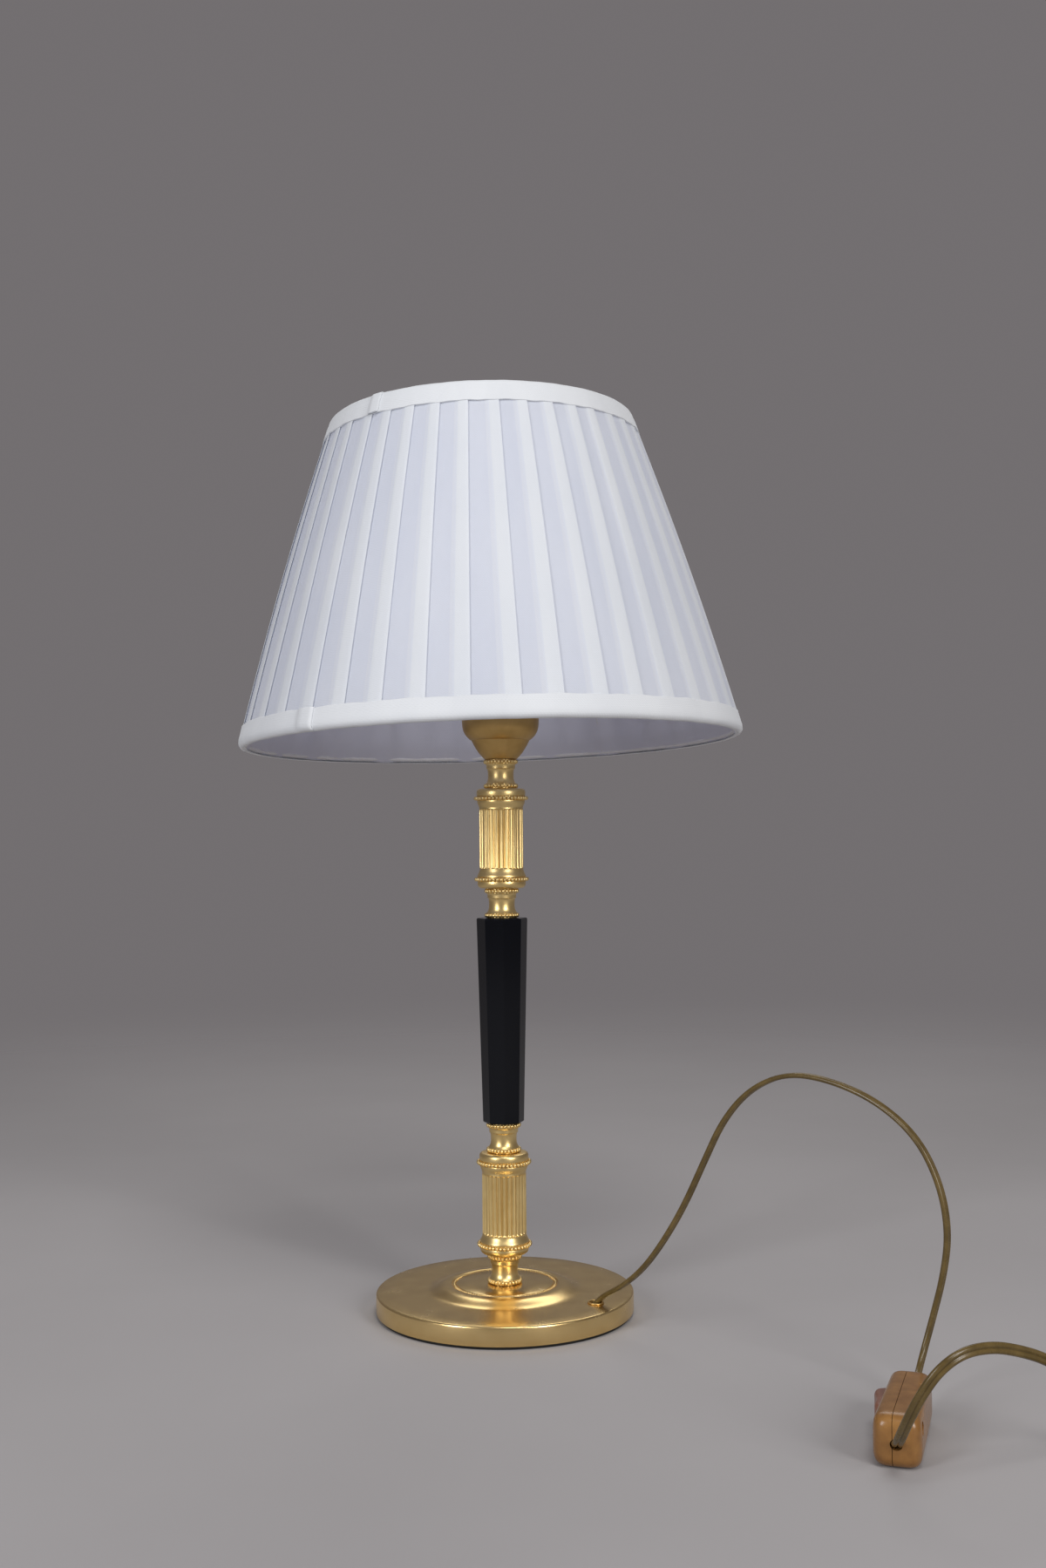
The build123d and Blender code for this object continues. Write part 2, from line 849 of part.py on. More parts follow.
def cord_passages():
    # a round way through, opened upwards at both ends so that the flex can rise
    reach = cord_diameter / 2 + part_gap
    hole = Rot(90, 0, 0) * Cylinder(reach, switch_length * 1.5)
    slot = Pos(0, 0, cord_diameter / 4) * Box(2 * reach, switch_length * 1.5, cord_diameter / 2)
    upper = Pos(0, 0, cord_diameter / 2) * hole
    return Pos(0, 0, switch_exit_height) * (hole + slot + upper)


def switch_screw_places():
    return [-switch_screw_spread, switch_screw_spread]


def switch_screw_shape(offset, grow):
    face = switch_thickness / 2
    place = Pos(face - switch_screw_depth / 2, offset, switch_height / 2 + cord_diameter)
    return place * Rot(0, 90, 0) * Cylinder(switch_screw_radius + grow, switch_screw_depth)


def switch_shells():
    hollow = switch_block(0) - switch_block(switch_wall) - cord_passages()
    half = switch_thickness / 2
    side = Box(switch_thickness, switch_length * 2, switch_height * 2)
    left_box = Pos(switch_seam - half, 0, switch_height / 2) * side
    right_box = Pos(switch_seam + half + close_gap, 0, switch_height / 2) * side
    window = Pos(-half, rocker_offset, switch_height / 2) * Box(
        switch_thickness / 2, rocker_length + 2 * part_gap + rocker_dish, rocker_width + 2 * part_gap
    )
    left = (hollow & left_box) - window + rocker_cheeks()
    right = hollow & right_box
    for offset in switch_screw_places():
        right = right - switch_screw_shape(offset, close_gap)
    return on_switch(left), on_switch(right)


def rocker_pivot_x():
    return -(switch_thickness / 2 - switch_wall - rocker_hub_radius)


def rocker_cheeks():
    # two small walls inside the housing that hold the rocker's pin
    pivot = rocker_pivot_x()
    hub = rocker_hub_radius * 2
    cheeks = None
    for side in (-1, 1):
        height = switch_height / 2 + side * (rocker_width / 2 + part_gap + switch_wall / 2)
        wall = Pos(pivot, rocker_offset, height) * Box(hub, hub, switch_wall)
        cheeks = wall if cheeks is None else cheeks + wall
    bore = Cylinder(rocker_pin_radius + hinge_gap / 2, switch_height)
    tunnel = Pos(pivot, rocker_offset, switch_height / 2) * bore
    return cheeks - tunnel


def rocker_pin():
    length = rocker_width + 2 * part_gap + 2 * switch_wall
    pin = Pos(rocker_pivot_x(), rocker_offset, switch_height / 2) * Cylinder(rocker_pin_radius, length)
    return on_switch(pin)


def switch_rocker():
    half = rocker_length / 2
    pivot = rocker_pivot_x()
    outer = -(switch_thickness / 2 + rocker_rise) - pivot
    outline = Polyline(
        (outer, -half),
        (outer + rocker_dish, 0),
        (outer, half),
        (outer + rocker_depth, half * 0.92),
        (rocker_hub_radius, rocker_hub_radius),
        (rocker_hub_radius, -rocker_hub_radius),
        (outer + rocker_depth, -half * 0.92),
        close=True,
    )
    body = extrude(make_face(outline), rocker_width)
    body = body - Pos(0, 0, rocker_width / 2) * Cylinder(rocker_pin_radius + hinge_gap, rocker_width * 2)
    place = Pos(pivot, rocker_offset, (switch_height - rocker_width) / 2)
    return on_switch(place * Rot(0, 0, rocker_tilt_degrees) * body)


def switch_contact(side):
    height = switch_height / 2 + side * contact_height / 2
    x = switch_thickness / 2 - switch_wall - part_gap - contact_thickness / 2
    strip = Box(contact_thickness, contact_length, contact_thickness)
    return on_switch(Pos(x, side * contact_thickness, height) * strip)


def build():
    save("base_shell", base_shell())
    save("base_ballast", base_ballast())
    save("base_felt", base_felt())
    save("base_washer", base_washer())
    save("base_nut", base_nut())
    save("threaded_tube", threaded_tube())
    save("cord_eyelet", cord_eyelet())
    save("inner_flex", inner_flex())
    for name, low in (
        ("foot_spool", foot_spool_z),
        ("lower_stem_spool", stem_spool_z),
        ("upper_stem_spool", upper_spool_z),
        ("neck_spool", neck_spool_z),
    ):
        save(name, spool(low))
    for name, low in (("lower_drum", lower_drum_z), ("upper_drum", upper_drum_z)):
        save(name + "_foot", drum_foot(low))
        save(name + "_flutes", fluted_drum(low + drum_foot_height))
        save(name + "_cap", drum_cap(low + drum_height - drum_cap_height))
    save("octagonal_stem", octagonal_stem())
    save("socket_cup", socket_cup())
    save("holder_base", holder_base())
    save("holder_insert", holder_insert())
    save("holder_screw_shell", screw_shell())
    save("holder_skirt", holder_skirt())
    save("shade_nut", shade_nut())
    save("bulb_contact", bulb_contact())
    save("bulb_cap", bulb_cap())
    save("bulb_glass", bulb_glass())
    save("shade_frame", shade_frame())
    save("shade_fitter", shade_fitter())
    save("shade_lining", shade_lining())
    save("shade_cover", shade_cover())
    save("shade_bottom_trim", trim(0, 1, wide_trim_height))
    save("shade_top_trim", trim(shade_height, -1, narrow_trim_height))
    save("cord_lead", cord("lead", lead_points))
    save("cord_tail", cord("tail", tail_points))
    save("cord_coil", cord_coil())
    save("cord_plug_lead", plug_lead())
    save("cord_tie", cord_tie())
    save("plug_body", plug_body())
    save("plug_pin_near", plug_pin(-1))
    save("plug_pin_far", plug_pin(1))
    left, right = switch_shells()
    save("switch_shell_left", left)
    save("switch_shell_right", right)
    save("switch_rocker", switch_rocker())
    save("rocker_pin", rocker_pin())
    save("switch_contact_low", switch_contact(-1))
    save("switch_contact_high", switch_contact(1))
    for index, offset in enumerate(switch_screw_places()):
        save(f"switch_screw_{index + 1}", on_switch(switch_screw_shape(offset, 0)))


build()
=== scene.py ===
import bpy
import bmesh
import math
import random
from mathutils import Matrix, Vector


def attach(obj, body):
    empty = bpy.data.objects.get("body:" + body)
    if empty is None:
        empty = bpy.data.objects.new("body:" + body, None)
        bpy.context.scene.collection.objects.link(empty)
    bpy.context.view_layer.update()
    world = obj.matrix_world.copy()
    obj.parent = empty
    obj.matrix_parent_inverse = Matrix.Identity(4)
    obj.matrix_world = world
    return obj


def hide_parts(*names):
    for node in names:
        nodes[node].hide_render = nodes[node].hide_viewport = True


# Looks of the desk lamp. Sizes are in millimetres unless said otherwise, and mm turns them into metres.
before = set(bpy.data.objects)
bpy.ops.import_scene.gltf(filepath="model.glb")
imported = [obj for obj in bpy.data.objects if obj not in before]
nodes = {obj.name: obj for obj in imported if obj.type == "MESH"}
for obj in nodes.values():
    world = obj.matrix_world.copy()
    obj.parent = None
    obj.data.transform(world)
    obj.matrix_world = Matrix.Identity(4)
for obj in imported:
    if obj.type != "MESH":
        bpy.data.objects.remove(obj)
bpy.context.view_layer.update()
mm = 0.001
random.seed(7)

# Camera, at the photograph's viewpoint
photo_height = 1799
focal_pixels = 1900.0
camera_place = (12.2 * mm, -910.4 * mm, 261.0 * mm)
camera_pitch_degrees = 1.64
camera_roll_degrees = -0.5

# Sizes shared by several pieces, as in the CAD
base_radius = 70.0
base_top = 15.4
bore_radius = 5.2
spool_height = 16.2
drum_height = 54.6
drum_foot_height = 10.0
drum_cap_height = 10.5
drum_radius = 12.0
flute_count = 30
flute_depth = 0.85
stem_height = 111.4
cup_height = 32.2
cord_width = 4.8
cord_thickness = 2.5

# Hole for the flex in the base, and its eyelet
eyelet_x = 48.2
eyelet_y = -29.2
eyelet_hole_z = 12.0
eyelet_hole_radius = 3.75
eyelet_hole_depth = 8

# Rings of beads on the spools, the drums and the base; heights count from the piece's own foot
spool_bead_ring = 8.65
spool_bead_inset = 1.45
spool_bead_count = 28
spool_bead_radius = 0.93
spool_bead_stretch = 1.3
drum_bead_ring = 14.05
drum_foot_bead_height = 4.95
drum_cap_bead_height = 5.2
drum_bead_count = 42
drum_bead_radius = 0.98
drum_bead_stretch = 1.1
base_bead_ring = 27.6
base_bead_height = 14.95
base_bead_count = 106
base_bead_radius = 0.76

# Heights of the column's pieces
foot_spool_z = base_top
lower_drum_z = foot_spool_z + spool_height
stem_spool_z = lower_drum_z + drum_height
stem_z = stem_spool_z + spool_height
upper_spool_z = stem_z + stem_height
upper_drum_z = upper_spool_z + spool_height
neck_spool_z = upper_drum_z + drum_height
cup_z = neck_spool_z + spool_height
cup_top_z = cup_z + cup_height

# Shade, drawn upright from its lower edge and then leaned as the CAD leans it
shade_height = 178.0
shade_wide_radius = 137.8
shade_narrow_radius = 83.7
shade_rim_height = 309.2
fitter_rise = 2.2
fitter_z = cup_top_z + fitter_rise
shade_shift_left = 5.6
shade_bulge = 2.1
shade_lean_left_degrees = 1.4
shade_lean_back_degrees = 1.9

# Cover: its pleats, its overlap under the trims, and how far it sinks in between the frame's ribs
pleat_count = 39
cover_rows = 26
cover_overlap = 1.0
pleat_swell_share = 0.3
rib_count = 6
rib_sink = 0.5

# Lining: its edges' distance from the shade's edges, and its distance behind the cover
lining_rows = 20
lining_segments = 240
lining_edge = 1.3
lining_gap = 5.0
lining_edge_flare = 1.0

# Trims: height of the tape, the wire they go round, and the lapped seam
wide_trim_height = 11.8
narrow_trim_height = 11.8
trim_segments = 320
trim_stand_off = 0.35
trim_wire_radius = 2.7
trim_wrap_radius = 2.75
seam_thickness = 1.2
wide_seam_degrees = -133.0
narrow_seam_degrees = -130.5

# Flex from the base to the switch
lead_points = [
    (44.6, -26.4, 6.2),
    (49.6, -30.4, 14.9),
    (61.0, -39.2, 22.8),
    (72.0, -47.4, 34.0),
    (82.0, -55.0, 49.8),
    (92.3, -62.7, 69.8),
    (101.8, -69.8, 93.4),
    (111.0, -76.7, 115.8),
    (123.4, -86.0, 132.6),
    (139.8, -98.2, 142.0),
    (158.2, -112.0, 140.6),
    (177.6, -126.6, 132.6),
    (193.4, -138.4, 118.0),
    (202.2, -145.0, 97.6),
    (205.2, -147.2, 76.0),
    (203.0, -145.4, 56.0),
    (198.6, -142.0, 36.0),
    (193.6, -143.4, 20.4),
    (187.9, -153.2, 10.8),
    (180.9, -173.5, 10.0),
]

# Flex from the switch to the coil
tail_points = [
    (162.7, -226.5, 10.0),
    (159.2, -241.0, 13.6),
    (160.6, -252.6, 26.8),
    (165.6, -258.2, 40.4),
    (172.4, -260.2, 50.6),
    (182.6, -257.6, 56.4),
    (196.0, -250.4, 56.0),
    (209.0, -242.6, 51.8),
    (221.2, -235.6, 46.4),
    (235.0, -227.2, 37.0),
    (245.2, -219.6, 23.0),
    (252.6, -213.9, 9.8),
    (262.4, -208.8, 3.2),
    (277.0, -208.1, 3.2),
]

# Flex's section: each core is an arc of steps to either side of its outer point
core_steps = 6
core_step_degrees = 25

# Switch, drawn with its length along Y and then turned to lie along the flex
switch_x = 171.8
switch_y = -200.0
switch_turn_degrees = -18.9
switch_length = 64.0
switch_height = 22.0
switch_thickness = 18.0
switch_near_thickness = 20.4
switch_section_points = 48
switch_squareness = 0.44
switch_wall = 1.8
switch_seam = -1.8
switch_seam_gap = 0.25
flex_hole_height = 10.5
flex_hole_radius = 2.6
flex_hole_flatness = 0.9
flex_hole_depth = 16
screw_hole_spread = 24.0
screw_hole_height = 15.4
screw_hole_radius = 2.8
screw_hole_length = 2.4
screw_hole_shift = 1.5

# Rocker, its pin and its window in the switch
rocker_offset = 5.0
rocker_tilt_degrees = 7.0
rocker_height = 13.2
rocker_pin_depth = 2.6
rocker_proud = 4.2
rocker_back_depth = 2.6
rocker_back_reach = 4.6
rocker_window_size = (12.0, 26.6, 14.0)

# Coil of flex and the last stretch to the plug
coil_x = 286.5
coil_y = -241.5
coil_low_z = 3.2
coil_outer_radius = 33.5
coil_pitch = 5.0
coil_layer_step = 4.9
coil_half_turns_in = 6
coil_half_turns_out = 7
coil_climb_inset = 0.6
coil_steps = 8
plug_lead_length = 26.0

# Sleeve at the plug
sleeve_length = 22.0
sleeve_overlap = 0.2
sleeve_ribs = 5
sleeve_rib_start = 1.5
sleeve_rib_pitch = 3.6
sleeve_rib_growth = 0.32
sleeve_flatness = 0.8
sleeve_width = 1.12

# Strap round the coil
strap_turn_degrees = -60.0
strap_inner_room = 2.8
strap_outer_room = 2.6
strap_height = 11.2
strap_thickness = 0.8
strap_lift = 0.2
strap_points = 56
strap_squareness = 0.42
strap_crown_share = 0.9

# Floor, in metres
floor_half_width = 6.0
floor_fade_start = 0.35
floor_fade_end = 2.0


def metres(points):
    return [Vector(point) * mm for point in points]


def new_object(name, data):
    obj = bpy.data.objects.new(name, data)
    bpy.context.scene.collection.objects.link(obj)
    return obj


# Node helpers

def new_material(name):
    material = bpy.data.materials.new(name)
    material.use_nodes = True
    tree = material.node_tree
    shader = tree.nodes["Principled BSDF"]
    return material, tree, shader


def texture_coordinate(tree):
    return tree.nodes.new("ShaderNodeTexCoord").outputs["Object"]


def noise(tree, scale, detail=4.0, rough=0.55, stretch=(1, 1, 1)):
    mapping = tree.nodes.new("ShaderNodeMapping")
    mapping.inputs["Scale"].default_value = stretch
    tree.links.new(texture_coordinate(tree), mapping.inputs["Vector"])
    node = tree.nodes.new("ShaderNodeTexNoise")
    node.inputs["Scale"].default_value = scale
    node.inputs["Detail"].default_value = detail
    node.inputs["Roughness"].default_value = rough
    tree.links.new(mapping.outputs["Vector"], node.inputs["Vector"])
    return node.outputs["Fac"]


def tint(tree, shader, source, low, high):
    # the base colour wanders between low and high with the source
    node = tree.nodes.new("ShaderNodeValToRGB")
    for element, place, colour in zip(node.color_ramp.elements, (0.3, 0.7), (low, high)):
        element.position = place
        element.color = (*colour, 1)
    tree.links.new(source, node.inputs["Fac"])
    tree.links.new(node.outputs["Color"], shader.inputs["Base Color"])
    return node.outputs["Color"]


def roughen(tree, shader, source, low, high):
    # the roughness wanders between low and high with the source
    node = tree.nodes.new("ShaderNodeMapRange")
    node.inputs["To Min"].default_value = low
    node.inputs["To Max"].default_value = high
    tree.links.new(source, node.inputs["Value"])
    tree.links.new(node.outputs["Result"], shader.inputs["Roughness"])


def bump(tree, shader, source, distance, strength):
    node = tree.nodes.new("ShaderNodeBump")
    node.inputs["Distance"].default_value = distance
    node.inputs["Strength"].default_value = strength
    tree.links.new(source, node.inputs["Height"])
    tree.links.new(node.outputs["Normal"], shader.inputs["Normal"])


def blend_surface(tree, shader, other):
    # mixes a second shader into the surface and returns the socket that sets its share
    blend = tree.nodes.new("ShaderNodeMixShader")
    tree.links.new(shader.outputs["BSDF"], blend.inputs[1])
    tree.links.new(other.outputs["BSDF"], blend.inputs[2])
    tree.links.new(blend.outputs["Shader"], tree.nodes["Material Output"].inputs["Surface"])
    return blend.inputs["Fac"]


# Materials

def brass_material(name, low, high, rough_low, rough_high, grain):
    material, tree, shader = new_material(name)
    cloud = noise(tree, scale=90.0, detail=5.0)
    tint(tree, shader, cloud, low, high)
    shader.inputs["Metallic"].default_value = 1.0
    roughen(tree, shader, cloud, rough_low, rough_high)
    fine = noise(tree, scale=grain, detail=3.0, rough=0.7)
    bump(tree, shader, fine, distance=0.000006, strength=0.12)
    return material


def gloss_black():
    material, tree, shader = new_material("black_gloss")
    shader.inputs["Base Color"].default_value = (0.002, 0.0025, 0.0045, 1)
    roughen(tree, shader, noise(tree, scale=60.0), low=0.06, high=0.14)
    shader.inputs["Specular IOR Level"].default_value = 0.24
    bump(tree, shader, noise(tree, scale=25.0), distance=0.0002, strength=0.08)
    return material


def weave(tree, threads):
    # two crossed sets of threads, in threads per metre, added together
    coordinate = texture_coordinate(tree)
    total = tree.nodes.new("ShaderNodeMath")
    total.operation = "ADD"
    for socket, direction in zip(total.inputs, ("Z", "DIAGONAL")):
        node = tree.nodes.new("ShaderNodeTexWave")
        node.wave_type = "BANDS"
        node.bands_direction = direction
        node.inputs["Scale"].default_value = threads * math.pi / 10
        node.inputs["Distortion"].default_value = 0.6
        tree.links.new(coordinate, node.inputs["Vector"])
        tree.links.new(node.outputs["Fac"], socket)
    return total.outputs["Value"]


def cloth_material(name, low, high, through, sheen=0.25, threads=1500.0, rough=0.85):
    # light comes through the cloth in the share that through gives
    material, tree, shader = new_material(name)
    cloud = noise(tree, scale=35.0, rough=0.6, stretch=(1, 1, 0.25))
    colour = tint(tree, shader, cloud, low, high)
    shader.inputs["Roughness"].default_value = rough
    shader.inputs["Sheen Weight"].default_value = sheen
    shader.inputs["Specular IOR Level"].default_value = 0.2
    bump(tree, shader, weave(tree, threads), distance=0.00006, strength=0.35)
    glow = tree.nodes.new("ShaderNodeBsdfTranslucent")
    tree.links.new(colour, glow.inputs["Color"])
    blend_surface(tree, shader, glow).default_value = through
    return material


def moulded_material(name, low, high, rough, grain=900.0):
    material, tree, shader = new_material(name)
    cloud = noise(tree, scale=120.0)
    tint(tree, shader, cloud, low, high)
    roughen(tree, shader, cloud, rough - 0.06, rough + 0.08)
    bump(tree, shader, noise(tree, scale=grain, detail=3.0), distance=0.00005, strength=0.25)
    return material


def metal_material(name, low, high, rough):
    material, tree, shader = new_material(name)
    cloud = noise(tree, scale=200.0)
    tint(tree, shader, cloud, low, high)
    shader.inputs["Metallic"].default_value = 1.0
    roughen(tree, shader, cloud, rough - 0.08, rough + 0.1)
    bump(tree, shader, noise(tree, scale=1500.0, detail=3.0), distance=0.00003, strength=0.3)
    return material


def frosted_glass():
    material, tree, shader = new_material("frosted_glass")
    cloud = noise(tree, scale=80.0)
    tint(tree, shader, cloud, (0.86, 0.87, 0.88), (0.93, 0.93, 0.92))
    roughen(tree, shader, cloud, low=0.35, high=0.5)
    shader.inputs["Transmission Weight"].default_value = 0.55
    bump(tree, shader, noise(tree, scale=2500.0), distance=0.00002, strength=0.3)
    return material


satin_brass = brass_material("satin_brass", (0.76, 0.545, 0.235), (0.83, 0.615, 0.285), 0.22, 0.30, 1600.0)
column_brass = brass_material("column_brass", (0.80, 0.58, 0.24), (0.88, 0.67, 0.31), 0.31, 0.39, 1800.0)
# rougher brass whose darker colour is painted shade: it stands for the lampshade's shade falling on the
# socket cup; the cord eyelet uses it too
dull_shaded_brass = brass_material("dull_shaded_brass", (0.52, 0.33, 0.11), (0.66, 0.44, 0.17), 0.34, 0.44, 1500.0)
black = gloss_black()
iron = metal_material("ballast_iron", (0.04, 0.04, 0.04), (0.09, 0.085, 0.08), rough=0.6)
steel = metal_material("zinc_steel", (0.45, 0.45, 0.44), (0.62, 0.62, 0.60), rough=0.32)
contact_brass = metal_material("contact_brass", (0.60, 0.42, 0.15), (0.72, 0.52, 0.22), rough=0.3)
aluminium = metal_material("bulb_metal", (0.62, 0.62, 0.62), (0.76, 0.76, 0.76), rough=0.28)
pin_metal = metal_material("pin_metal", (0.70, 0.70, 0.68), (0.80, 0.80, 0.78), rough=0.2)
holder_plastic = moulded_material("holder_plastic", (0.02, 0.018, 0.016), (0.04, 0.035, 0.03), rough=0.4)
ceramic = moulded_material("holder_ceramic", (0.72, 0.71, 0.68), (0.82, 0.81, 0.78), rough=0.5)
white_wire = moulded_material("white_wire", (0.72, 0.72, 0.74), (0.82, 0.82, 0.84), rough=0.45)
strap = moulded_material("strap", (0.02, 0.02, 0.02), (0.035, 0.035, 0.035), rough=0.5)
switch_plastic = moulded_material("switch_plastic", (0.21, 0.095, 0.026), (0.32, 0.155, 0.042), rough=0.24)
rocker_plastic = moulded_material("rocker_plastic", (0.20, 0.085, 0.055), (0.27, 0.12, 0.08), rough=0.34)
flex = moulded_material("flex_sheath", (0.085, 0.055, 0.014), (0.15, 0.10, 0.03), rough=0.26, grain=700.0)
glass = frosted_glass()
pleat_face = cloth_material("pleat_face", (0.795, 0.835, 0.925), (0.84, 0.875, 0.95), through=0.38)
pleat_middle = cloth_material("pleat_middle", (0.82, 0.855, 0.925), (0.86, 0.89, 0.95), through=0.35)
pleat_fold = cloth_material("pleat_fold", (0.845, 0.875, 0.92), (0.88, 0.905, 0.94), through=0.3)
lining_cloth = cloth_material("lining_cloth", (0.83, 0.83, 0.92), (0.87, 0.87, 0.95), through=0.42)
tape = cloth_material(
    "trim_tape", (0.73, 0.755, 0.79), (0.78, 0.805, 0.835), through=0.08, sheen=0.2, threads=1100.0
)
felt = cloth_material(
    "felt_pad", (0.012, 0.012, 0.012), (0.03, 0.03, 0.03), through=0.0, sheen=0.1, threads=900.0, rough=0.95
)

node_materials = {
    "base_ballast": iron,
    "base_felt": felt,
    "base_nut": steel,
    "base_washer": steel,
    "threaded_tube": steel,
    "octagonal_stem": black,
    "holder_base": holder_plastic,
    "holder_skirt": holder_plastic,
    "shade_nut": holder_plastic,
    "holder_insert": ceramic,
    "holder_screw_shell": contact_brass,
    "switch_contact_low": contact_brass,
    "switch_contact_high": contact_brass,
    "bulb_contact": contact_brass,
    "bulb_cap": aluminium,
    "bulb_glass": glass,
    "shade_frame": white_wire,
    "shade_fitter": white_wire,
    "inner_flex": flex,
    "cord_tie": strap,
    "switch_shell_left": switch_plastic,
    "switch_shell_right": switch_plastic,
    "switch_rocker": rocker_plastic,
    "rocker_pin": steel,
    "switch_screw_1": steel,
    "switch_screw_2": steel,
    "plug_body": switch_plastic,
    "plug_pin_near": pin_metal,
    "plug_pin_far": pin_metal,
}


def paint(obj, material):
    obj.data.materials.clear()
    obj.data.materials.append(material)


for node_name, node_material in node_materials.items():
    paint(nodes[node_name], node_material)


# Mesh helpers

def to_mesh(bm, name, outward=True):
    # outward turns all faces outwards, which an open sheet doesn't need
    mesh = bpy.data.meshes.new(name)
    if outward:
        bmesh.ops.recalc_face_normals(bm, faces=bm.faces)
    bm.to_mesh(mesh)
    bm.free()
    return mesh


def smooth(mesh, degrees):
    for face in mesh.polygons:
        face.use_smooth = True
    mesh.set_sharp_from_angle(angle=math.radians(degrees))


def finished(name, mesh, material, body, replaced, smooth_degrees):
    # material is None where the mesh already carries its own
    obj = new_object(name, mesh)
    if material is not None:
        paint(obj, material)
    smooth(mesh, smooth_degrees)
    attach(obj, body)
    if replaced:
        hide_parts(*replaced)
    return obj


def brass_piece(bm, node, ending, material, smooth_degrees):
    # stands in for the CAD node that it is named after
    mesh = to_mesh(bm, node)
    finished(node + ending, mesh, material, "lamp", [node], smooth_degrees)


def around(radius, turn, height):
    return Vector((radius * math.cos(turn), radius * math.sin(turn), height)) * mm


def pairs_around(circle):
    return list(zip(circle, circle[1:] + circle[:1]))


def skin(bm, rings):
    # faces between each closed ring and the next
    faces = []
    for lower, upper in zip(rings, rings[1:]):
        for first, last in zip(pairs_around(lower), pairs_around(upper)):
            faces.append(bm.faces.new((first[0], first[1], last[1], last[0])))
    return faces


def close_ends(bm, rings):
    bm.faces.new(rings[0][::-1])
    bm.faces.new(rings[-1])


def raised(profile, low):
    return [(radius, low + height) for radius, height in profile]


def lathe(bm, profile, segments=96):
    # profile is (radius, height), turned about Z
    turns = [2 * math.pi * step / segments for step in range(segments)]
    rings = [[bm.verts.new(around(radius, turn, height)) for turn in turns] for radius, height in profile]
    skin(bm, rings)
    return rings


def beads(bm, ring_radius, height, count, bead_radius, stretch=1.0):
    for index in range(count):
        place = around(ring_radius, 2 * math.pi * (index + 0.5) / count, height)
        seat = Matrix.Translation(place) @ Matrix.Diagonal((1, 1, stretch, 1))
        bmesh.ops.create_icosphere(bm, subdivisions=2, radius=bead_radius * mm, matrix=seat)


def smooth_line(points, steps):
    # a rounded line through the points, for turned profiles
    made = []
    count = len(points)
    for index in range(count - 1):
        p0 = Vector(points[max(index - 1, 0)])
        p1 = Vector(points[index])
        p2 = Vector(points[index + 1])
        p3 = Vector(points[min(index + 2, count - 1)])
        for step in range(steps):
            t = step / steps
            a = p1 * 2
            b = (p2 - p0) * t
            c = (p0 * 2 - p1 * 5 + p2 * 4 - p3) * t * t
            d = (p1 * 3 - p0 - p2 * 3 + p3) * t * t * t
            made.append(tuple((a + b + c + d) / 2))
    made.append(tuple(points[-1]))
    return made


def soft_square(turn, power):
    # a place on a rounded square of half width 1, squarer where the power is smaller
    across = math.copysign(abs(math.cos(turn)) ** power, math.cos(turn))
    up = math.copysign(abs(math.sin(turn)) ** power, math.sin(turn))
    return across, up


def round_tool(place, turn, radius, depth):
    bm = bmesh.new()
    seat = Matrix.Translation(Vector(place) * mm) @ turn
    bmesh.ops.create_cone(
        bm,
        cap_ends=True,
        segments=32,
        radius1=radius * mm,
        radius2=radius * mm,
        depth=depth * mm,
        matrix=seat,
    )
    return bm


def cut(obj, tools, smooth_degrees):
    for tool in tools:
        modifier = obj.modifiers.new(tool.name, "BOOLEAN")
        modifier.operation = "DIFFERENCE"
        modifier.solver = "EXACT"
        modifier.object = tool
    evaluated = obj.evaluated_get(bpy.context.evaluated_depsgraph_get())
    mesh = bpy.data.meshes.new_from_object(evaluated)
    obj.modifiers.clear()
    obj.data = mesh
    smooth(mesh, smooth_degrees)
    for tool in tools:
        bpy.data.objects.remove(tool)


# Camera

def make_camera():
    data = bpy.data.cameras.new("view")
    camera = new_object("view", data)
    data.sensor_width = 36.0
    data.sensor_fit = "AUTO"
    data.lens = focal_pixels * data.sensor_width / photo_height
    data.clip_start = 0.01
    data.clip_end = 30.0
    data.dof.use_dof = False
    pitch = Matrix.Rotation(math.radians(90 + camera_pitch_degrees), 4, "X")
    roll = Matrix.Rotation(math.radians(camera_roll_degrees), 4, "Z")
    camera.matrix_world = Matrix.Translation(camera_place) @ pitch @ roll
    bpy.context.scene.camera = camera


make_camera()


# Flex

def twin_section():
    # two cores side by side, as one closed outline
    data = bpy.data.curves.new("twin_section", "CURVE")
    data.dimensions = "2D"
    core = cord_thickness / 2
    shift = cord_width / 2 - core
    points = []
    for side in (1, -1):
        for step in range(-core_steps, core_steps + 1):
            turn = math.radians(step * core_step_degrees)
            points.append((side * (shift + core * math.cos(turn)), side * core * math.sin(turn)))
    spline = data.splines.new("POLY")
    spline.points.add(len(points) - 1)
    for place, (x, y) in zip(spline.points, points):
        place.co = (x * mm, y * mm, 0, 1)
    spline.use_cyclic_u = True
    obj = new_object("twin_section", data)
    obj.hide_render = True
    obj.hide_viewport = True
    return obj


def flex_run(name, points, section):
    data = bpy.data.curves.new(name, "CURVE")
    data.dimensions = "3D"
    data.resolution_u = 8
    data.twist_mode = "MINIMUM"
    spline = data.splines.new("NURBS")
    spline.points.add(len(points) - 1)
    for place, point in zip(spline.points, points):
        place.co = (*point, 1)
    spline.order_u = 3
    spline.use_endpoint_u = True
    data.bevel_mode = "OBJECT"
    data.bevel_object = section
    data.use_fill_caps = True
    obj = new_object(name, data)
    paint(obj, flex)
    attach(obj, "lamp")
    return obj


